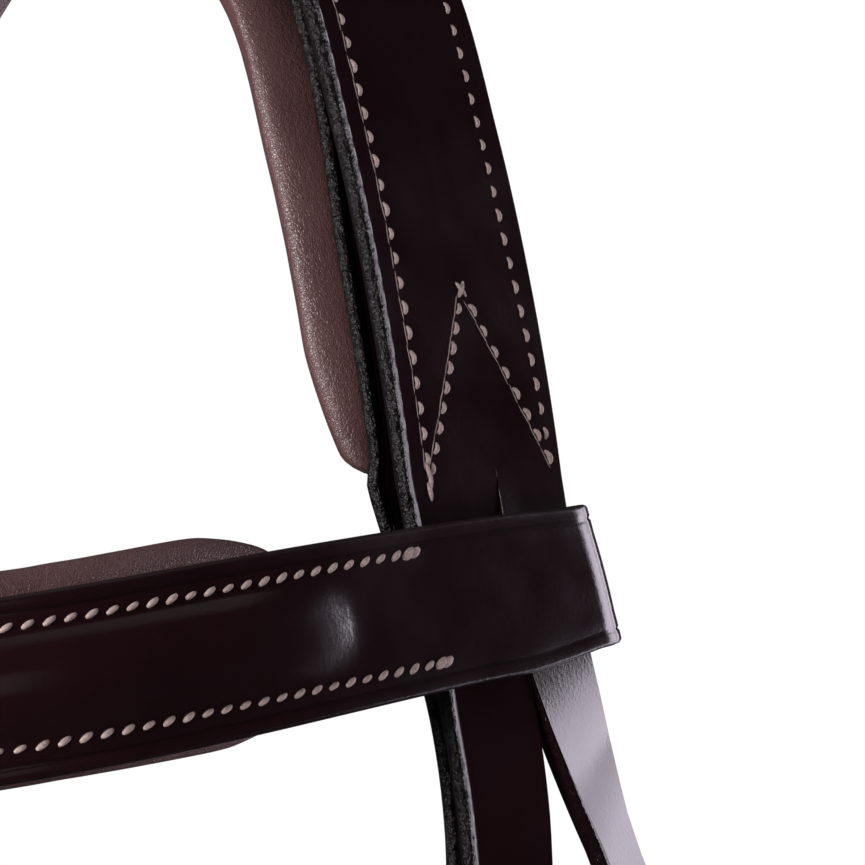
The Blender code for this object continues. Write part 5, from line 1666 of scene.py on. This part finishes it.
def cheekpiece(side, turn):
    """Buckle end at the top; the low end goes round the bit ring and back over the hook stud."""
    stack = STUD_BASE_THICKNESS + 4 * GAP
    back_level = -(STRAP_LEATHER + stack)
    radius = BIT_LOOP_RADIUS + STRAP_LEATHER / 2
    top = chape(CHEEK, CHEEK_BAR, 1, STRAP_LEATHER, CHEEK_WIDTH, 0.0, CHEEK.marks[10], back=CHEEK_RETURN)
    body = list(reversed(top))
    body += lay(CHEEK, CHEEK.marks[10], CHEEK_END - BIT_LEAD, CHEEK_WIDTH)[1:]
    bend = CHEEK.place(CHEEK_END)
    turned = [(a, -o) for a, o in fold(-back_level / 2, radius, 0.0, -back_level / 2, BIT_LEAD)]
    body += side_view(bend, turned, CHEEK_WIDTH)[1:]
    last = CHEEK_END - BIT_RETURN
    back = lay(CHEEK, last + STRAP_TIP, CHEEK_END - BIT_LEAD, CHEEK_WIDTH, back_level)
    tip = CHEEK.place(last + STRAP_TIP).facing_back()
    body += list(reversed(back))[1:-1] + tapered_tip(tip, CHEEK_WIDTH, back_level, 0.0, STRAP_TIP)
    stud = CHEEK.place(CHEEK_END - STUD_PLACE)
    bar = CHEEK_BUCKLE
    if side == "off":
        stud, bar = stud.mirrored(), bar.mirrored()
    slot = (stud.raised(back_level), STUD_SLOT_HALF_LENGTH, STUD_SHANK + 2 * GAP, STRAP_LEATHER / 2 + 2 * GAP)
    strap("cheekpiece_" + side, turn(body), STRAP_LEATHER, holes=[chape_slot(bar, STRAP_LEATHER), slot])
    hook_stud(side, stud, back_level)
    rows = end_rows(CHEEK, CHEEK_BAR, CHEEK_BAR + CHEEK_RETURN, STRAP_LEATHER, CHEEK_WIDTH)
    fine_stitches("cheekpiece_" + side, rows if side == "near" else mirror_spots(rows))


def throatlash():
    """Under the throat, with a turned end and a buckle at each side."""
    near = chape(THROAT, THROAT_BAR, 1, STRAP_LEATHER, THROAT_WIDTH, 0.0, THROAT_MIDDLE, back=CHEEK_RETURN)
    holes = [chape_slot(place, STRAP_LEATHER) for place in (THROAT_BUCKLE, THROAT_BUCKLE.mirrored())]
    strap("throatlash", list(reversed(near)) + mirrored(near)[1:], STRAP_LEATHER, holes=holes)
    rows = end_rows(THROAT, THROAT_BAR, THROAT_BAR + CHEEK_RETURN, STRAP_LEATHER, THROAT_WIDTH)
    fine_stitches("throatlash", both(rows))


def cross_straps():
    """Two straps from the rings over the nose to the chin groove; the near ring's lies on top."""
    spread, middle = CROSSING_LEVEL, CROSS.marks[-2]
    upper = list(reversed(ring_end(CROSS, CROSS.marks[0], CROSSING, spread, -1)))
    over = lay(CROSS, CROSSING, middle, NOSE_WIDTH, spread, 0.0)
    tip_side = mirrored(reversed(lay(CROSS, CROSS_BAR + BUCKLE_APPROACH, middle, NOSE_WIDTH)))
    tip = buckled_tip(NOSE_LEATHER, NOSE_WIDTH, CHIN_BUCKLE, SHORT_TIP)
    top = upper + over[1:] + tip_side[1:-1] + tip
    strap("cross_strap_near", top, NOSE_LEATHER, holes=[tongue_hole(CHIN_BUCKLE, NOSE_LEATHER)])
    upper = list(reversed(ring_end(CROSS, CROSS.marks[0], CROSSING, -spread)))
    lower = chape(CROSS, CROSS_BAR, 1, NOSE_LEATHER, NOSE_WIDTH, -spread, CROSSING, back=SHORT_RETURN)
    under = mirrored(upper + lower[1:])
    strap("cross_strap_off", under, NOSE_LEATHER, holes=[chape_slot(CHIN_BUCKLE, NOSE_LEATHER)])
    rows = ring_rows(CROSS, CROSS.marks[0])
    inside = end_rows(CROSS, CROSS_BAR, CROSS_BAR - SHORT_RETURN, NOSE_LEATHER, NOSE_WIDTH)
    fine_stitches("cross_strap_near", rows)
    fine_stitches("cross_strap_off", mirror_spots(rows + inside))


def nose_pad():
    """A crowned oval pad, bent round the nose, under the crossing."""
    level = -(CROSSING_LEVEL + NOSE_LEATHER / 2 + 3 * GAP)
    bm = bmesh.new()
    rings = []
    section = rounded_section(BROW_PAD_SHARES)
    for i in range(NOSE_PAD_STEPS + 1):
        share = 2 * i / NOSE_PAD_STEPS - 1
        place = CROSS.place(CROSSING + share * NOSE_PAD_LENGTH / 2)
        level_place = CROSS.place(CROSSING - share * NOSE_PAD_LENGTH / 2).mirrored()
        point = (place.point + level_place.point) / 2
        out = (place.out + level_place.out).normalized()
        width = NOSE_PAD_HALF_WIDTH * math.sqrt(1 - NOSE_PAD_ROUND_SHARE * abs(share) ** 3)
        thick = NOSE_PAD_THICKNESS * (1 - NOSE_PAD_THIN_SHARE * abs(share) ** 3)
        up = Vector((0, 0, 1))
        rings.append([point + up * w * width + out * (level - n * thick) for w, n in section])
    loft(bm, rings)
    mesh = closed_mesh("nose_pad", bm)
    pad = piece("nose_pad.nappa", plumped(mesh), NAPPA, "nose_pad")


def bridge_over_crossing():
    """The leather that holds the crossing to the pad: over both straps, and down to the pad at each end."""
    over = CROSSING_LEVEL + NOSE_LEATHER / 2 + 2 * GAP + BROW_LEATHER / 2
    down = -(CROSSING_LEVEL + NOSE_LEATHER / 2) + BROW_LEATHER / 2
    place = crossing_place()
    cuts, spots = [], []
    for share, raised in BRIDGE_LAY:
        level = over if raised else down
        cuts.append((place.at(BRIDGE_LENGTH / 2 * share, 0, level), place.across, BRIDGE_WIDTH / 2))
    strap("nose_bridge", cuts, BROW_LEATHER, slot="band_leather", finish=HAVANA_BAND, toward=place.out)
    lift = down + BROW_LEATHER / 2 + FACE_SWELL
    for sign in (-1, 1):
        for k in range(BRIDGE_STITCHES):
            across = (k - (BRIDGE_STITCHES - 1) / 2) * FINE_PITCH
            spots.append((place.at(sign * BRIDGE_LENGTH * BRIDGE_ROW_SHARE, across, lift), place.across, place.out))
    fine_stitches("nose_bridge", spots)


def jaw_straps():
    """Behind the jaw: the near strap carries the buckle, the far one comes round to it."""
    middle, inner = (JAW.marks[0] + JAW_BAR) / 2, -spread_of(NOSE_LEATHER)
    ring = ring_end(JAW, JAW.marks[0], middle, inner)
    bar = chape(JAW, JAW_BAR, 1, NOSE_LEATHER, NOSE_WIDTH, inner, middle, back=SHORT_RETURN)
    strap("jaw_strap_near", list(reversed(ring)) + bar[1:], NOSE_LEATHER, swell=0.0,
          holes=[chape_slot(JAW_BUCKLE, NOSE_LEATHER)])
    far = mirrored(ring_end(JAW, JAW.marks[0], JAW.marks[-2], 0.0))
    near = lay(JAW, JAW_BAR + BUCKLE_APPROACH, JAW.marks[-2], NOSE_WIDTH)
    tip = buckled_tip(NOSE_LEATHER, NOSE_WIDTH, JAW_BUCKLE, SHORT_TIP)
    strap("jaw_strap_off", list(reversed(far)) + list(reversed(near))[1:-1] + tip, NOSE_LEATHER,
          holes=[tongue_hole(JAW_BUCKLE, NOSE_LEATHER)])
    rows = ring_rows(JAW, JAW.marks[0])
    inside = end_rows(JAW, JAW_BAR, JAW_BAR - SHORT_RETURN, NOSE_LEATHER, NOSE_WIDTH)
    fine_stitches("jaw_strap_near", rows + inside)
    fine_stitches("jaw_strap_off", mirror_spots(rows))


# Metal and keepers
def wire_hoop(bm, corners, place, radius):
    """A closed round wire through (along, across, out) points of a place."""
    points = [place.at(*corner) for corner in corners]
    rings = []
    for i, point in enumerate(points):
        back = (point - points[i - 1]).normalized()
        ahead = (points[(i + 1) % len(points)] - point).normalized()
        along = (back + ahead).normalized()
        side = place.out.cross(along).normalized()
        up = along.cross(side)
        ring = []
        for k in range(WIRE_SIDES):
            angle = math.tau * (k + 0.5) / WIRE_SIDES
            ring.append(point + side * math.cos(angle) * radius + up * math.sin(angle) * radius)
        rings.append(ring)
    loft(bm, rings, closed=True)


def buckle(name, place, width):
    half = width / 2 + BUCKLE_SIDE_ROOM + BUCKLE_WIRE
    corner = BUCKLE_CORNER
    corners = []
    for centre_along, centre_across, start in (
        (BUCKLE_LENGTH - corner, half - corner, 90),
        (BUCKLE_LENGTH - corner, corner - half, 0),
        (corner, corner - half, -90),
        (corner, half - corner, 180),
    ):
        for i in range(CORNER_STEPS + 1):
            angle = math.radians(start) - math.pi / 2 * i / CORNER_STEPS
            along = centre_along + corner * math.cos(angle)
            across = centre_across + corner * math.sin(angle)
            rise = BUCKLE_RISE * smooth((along - BUCKLE_WIRE) / (BUCKLE_LENGTH - 2 * BUCKLE_WIRE))
            corners.append((along, across, rise))
    bm = bmesh.new()
    wire_hoop(bm, corners, place, BUCKLE_WIRE)
    piece(name + ".steel", closed_mesh(name, bm), BUCKLE_STEEL, name)


def tongue(name, place, body):
    """A flat wire wrapped round the bar, its point resting on the outer bar."""
    radius = BUCKLE_WIRE + GAP + TONGUE_THICKNESS / 2
    rest_along = BUCKLE_LENGTH
    rest_out = BUCKLE_RISE + BUCKLE_WIRE + GAP + TONGUE_THICKNESS / 2
    distance = math.hypot(rest_along, rest_out)
    start = math.atan2(rest_out, rest_along) + math.acos(radius / distance)
    root = (radius * math.cos(start), radius * math.sin(start))
    reach = 1 + TONGUE_OVERHANG / distance
    points = [(root[0] + (rest_along - root[0]) * share, root[1] + (rest_out - root[1]) * share)
              for share in (reach, reach - 0.05, reach - 0.12, *TONGUE_SHARES)]
    for i in range(TONGUE_STEPS + 1):
        angle = start + TONGUE_WRAP * i / TONGUE_STEPS
        points.append((radius * math.cos(angle), radius * math.sin(angle)))
    widths = TONGUE_POINT_WIDTHS + (1.0,) * (len(points) - len(TONGUE_POINT_WIDTHS))
    cuts = [(place.at(along, 0, out), place.across, TONGUE_WIDTH / 2 * width)
            for (along, out), width in zip(points, widths)]
    rings, _ = skin_rings(cuts, TONGUE_THICKNESS, 0.0, 0.0)
    bm = bmesh.new()
    loft(bm, rings)
    piece(name + ".steel", closed_mesh(name, bm, SMOOTH_CAPS), BUCKLE_STEEL, name, body=body)


def keeper(name, place, width, low, high, centre, length, body=BODY, slack=0.0):
    """A leather band round the layers of a strap, from low to high out of its place."""
    half = width / 2 + GAP + slack + KEEPER_LEATHER / 2
    bottom = low - GAP - slack - KEEPER_LEATHER / 2
    top = high + GAP + KEEPER_LEATHER / 2
    bend = KEEPER_LEATHER * KEEPER_BEND_SHARE
    path = []
    for across, out, start in (
        (half - bend, top - bend, 90), (half - bend, bottom + bend, 0),
        (bend - half, bottom + bend, -90), (bend - half, top - bend, 180),
    ):
        for i in range(KEEPER_BEND_STEPS + 1):
            angle = math.radians(start - 90 * i / KEEPER_BEND_STEPS)
            path.append((across + bend * math.cos(angle), out + bend * math.sin(angle)))
    cuts = [(place.at(centre, across, out), place.along, length / 2) for across, out in path]
    rings, marks = skin_rings(cuts, KEEPER_LEATHER, FACE_SWELL, KEEPER_CREASE, closed=True)
    bm = bmesh.new()
    loft(bm, rings, closed=True)
    mesh = marked_mesh(name, bm, marks)
    piece(name + ".leather", mesh, HAVANA_LOOP, name, body=body)


def buckle_set(name, place, width, leather, short=False):
    """Buckle, tongue, fixed keeper and runner on a turned end with a tip buckled over it."""
    buckle(name + "_buckle", place, width)
    tongue(name + "_buckle_tongue", place, name + "_tongue")
    low = -spread_of(leather) - leather / 2
    high = over_chape(leather) + leather / 2
    keeper_at, runner_at = (SHORT_KEEPER_PLACE, SHORT_RUNNER_PLACE) if short else (KEEPER_PLACE, RUNNER_PLACE)
    keeper(name + "_fixed_keeper", place, width, low, high, -keeper_at, KEEPER_WIDTH)
    keeper(name + "_runner", place, width, low, high, -runner_at, RUNNER_WIDTH, name + "_runner", GAP)


def noseband_ring(side):
    place = ring_place() if side == "near" else ring_place().mirrored()
    bm = bmesh.new()
    angles = [math.tau * i / RING_STEPS for i in range(RING_STEPS)]
    corners = [(RING_RADIUS * math.cos(angle), RING_RADIUS * math.sin(angle), 0.0) for angle in angles]
    wire_hoop(bm, corners, place, RING_WIRE)
    name = "noseband_ring_" + side
    piece(name + ".steel", closed_mesh(name, bm), RING_STEEL, name, body="ring_" + side)


def hook_stud(side, place, back_level):
    """A flat base against the cheekpiece, a shank through the returned end and a head that hooks it."""
    bm = bmesh.new()
    base_top = -STRAP_LEATHER / 2 - 2 * GAP
    base_low = base_top - STUD_BASE_THICKNESS
    head_top = back_level - STRAP_LEATHER / 2 - 2 * GAP
    bevel = STUD_BASE_THICKNESS / 4
    profile_rows = (
        (STUD_BASE - bevel, STUD_BASE - bevel, base_top), (STUD_BASE, STUD_BASE, base_top - bevel),
        (STUD_BASE, STUD_BASE, base_low + bevel), (STUD_BASE - bevel, STUD_BASE - bevel, base_low),
        (STUD_SHANK, STUD_SHANK, base_low), (STUD_SHANK, STUD_SHANK, head_top),
        (STUD_HEAD_LENGTH / 2 - bevel, STUD_HEAD_HALF_WIDTH - bevel, head_top),
        (STUD_HEAD_LENGTH / 2, STUD_HEAD_HALF_WIDTH, head_top - bevel),
        (STUD_HEAD_LENGTH / 2 - bevel, STUD_HEAD_HALF_WIDTH - bevel, head_top - STUD_HEAD_THICKNESS / 2),
        (STUD_HEAD_LENGTH / 3, STUD_HEAD_HALF_WIDTH / 2, head_top - STUD_HEAD_THICKNESS),
    )
    rings = []
    for half_along, half_across, out in profile_rows:
        rings.append([
            place.at(half_along * math.cos(a), half_across * math.sin(a), out)
            for a in (math.tau * (i + 0.5) / STUD_SIDES for i in range(STUD_SIDES))
        ])
    loft(bm, rings)
    name = "hook_stud_" + side
    piece(name + ".steel", closed_mesh(name, bm), RING_STEEL, name)


# Studio
def soft_light(name, at, aim, size, power, colour):
    data = bpy.data.lights.new(name, "AREA")
    data.shape = "RECTANGLE"
    data.size, data.size_y = size
    data.energy = power
    data.color = colour
    lamp = bpy.data.objects.new(name, data)
    lamp.location = at
    lamp.rotation_euler = (Vector(aim) - Vector(at)).to_track_quat("-Z", "Y").to_euler()
    bpy.context.scene.collection.objects.link(lamp)


def studio():
    scene = bpy.context.scene
    scene.view_settings.view_transform = "Standard"
    world = bpy.data.worlds.new("studio")
    world.use_nodes = True
    sky = Tree(world.node_tree)
    rays = sky.add("ShaderNodeLightPath").outputs
    seen = sky.maths("ADD", rays["Is Camera Ray"], rays["Is Transmission Ray"])
    shade = sky.tree.nodes["Background"]
    sky.feed(shade.inputs["Strength"], sky.spread(seen, 0.0, 1.0, ROOM_LIGHT, 1.0))
    shade.inputs["Color"].default_value = (1, 1, 1, 1)
    scene.world = world
    for light in LIGHTS:
        soft_light(*light)
    floor_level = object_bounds()[0][2] - FLOOR_DROP
    bpy.ops.mesh.primitive_plane_add(size=FLOOR_SIZE, location=(0, 0, floor_level))
    floor = bpy.context.object
    floor.name = "floor"
    paint = Finish("pale_floor")
    tone = paint.blend(paint.noise(6.0), (0.80, 0.80, 0.80, 1), (0.84, 0.84, 0.84, 1))
    floor.data.materials.append(paint.set(Base_Color=tone, Roughness=0.8))
    floor.visible_glossy = False
    floor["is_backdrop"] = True


def camera():
    data = bpy.data.cameras.new("photograph")
    data.lens = LENS
    data.sensor_width = SENSOR_WIDTH
    data.clip_start, data.clip_end = 0.01, 10
    view = bpy.data.objects.new("photograph", data)
    turn = math.radians(CAMERA_TURN)
    forward = Vector((-math.sin(turn), math.cos(turn), 0))
    side = Vector((math.cos(turn), math.sin(turn), 0))
    frame_of_view = Matrix((side, side.cross(forward), -forward)).transposed().to_4x4()
    frame_of_view.translation = CAMERA_PLACE
    view.matrix_world = frame_of_view
    bpy.context.scene.collection.objects.link(view)
    bpy.context.scene.camera = view


def build():
    headpiece_stitches(headpiece())
    lining()
    crown_pad()
    browband_stitches(browband())
    brow_pad()
    sliphead()
    slip_cheek()
    for side, turn in (("near", list), ("off", mirrored)):
        cheekpiece(side, turn)
        noseband_ring(side)
    throatlash()
    cross_straps()
    nose_pad()
    bridge_over_crossing()
    jaw_straps()
    for side in ("near", "off"):
        flip = (lambda p: p) if side == "near" else (lambda p: p.mirrored())
        buckle_set("cheek_" + side, flip(CHEEK_BUCKLE), CHEEK_WIDTH, STRAP_LEATHER)
        buckle_set("throat_" + side, flip(THROAT_BUCKLE), THROAT_WIDTH, STRAP_LEATHER)
    buckle_set("sliphead", SLIP_BUCKLE, NOSE_WIDTH, NOSE_LEATHER, short=True)
    buckle_set("jaw", JAW_BUCKLE, NOSE_WIDTH, NOSE_LEATHER, short=True)
    buckle_set("chin", CHIN_BUCKLE, NOSE_WIDTH, NOSE_LEATHER, short=True)


build()
studio()
camera()
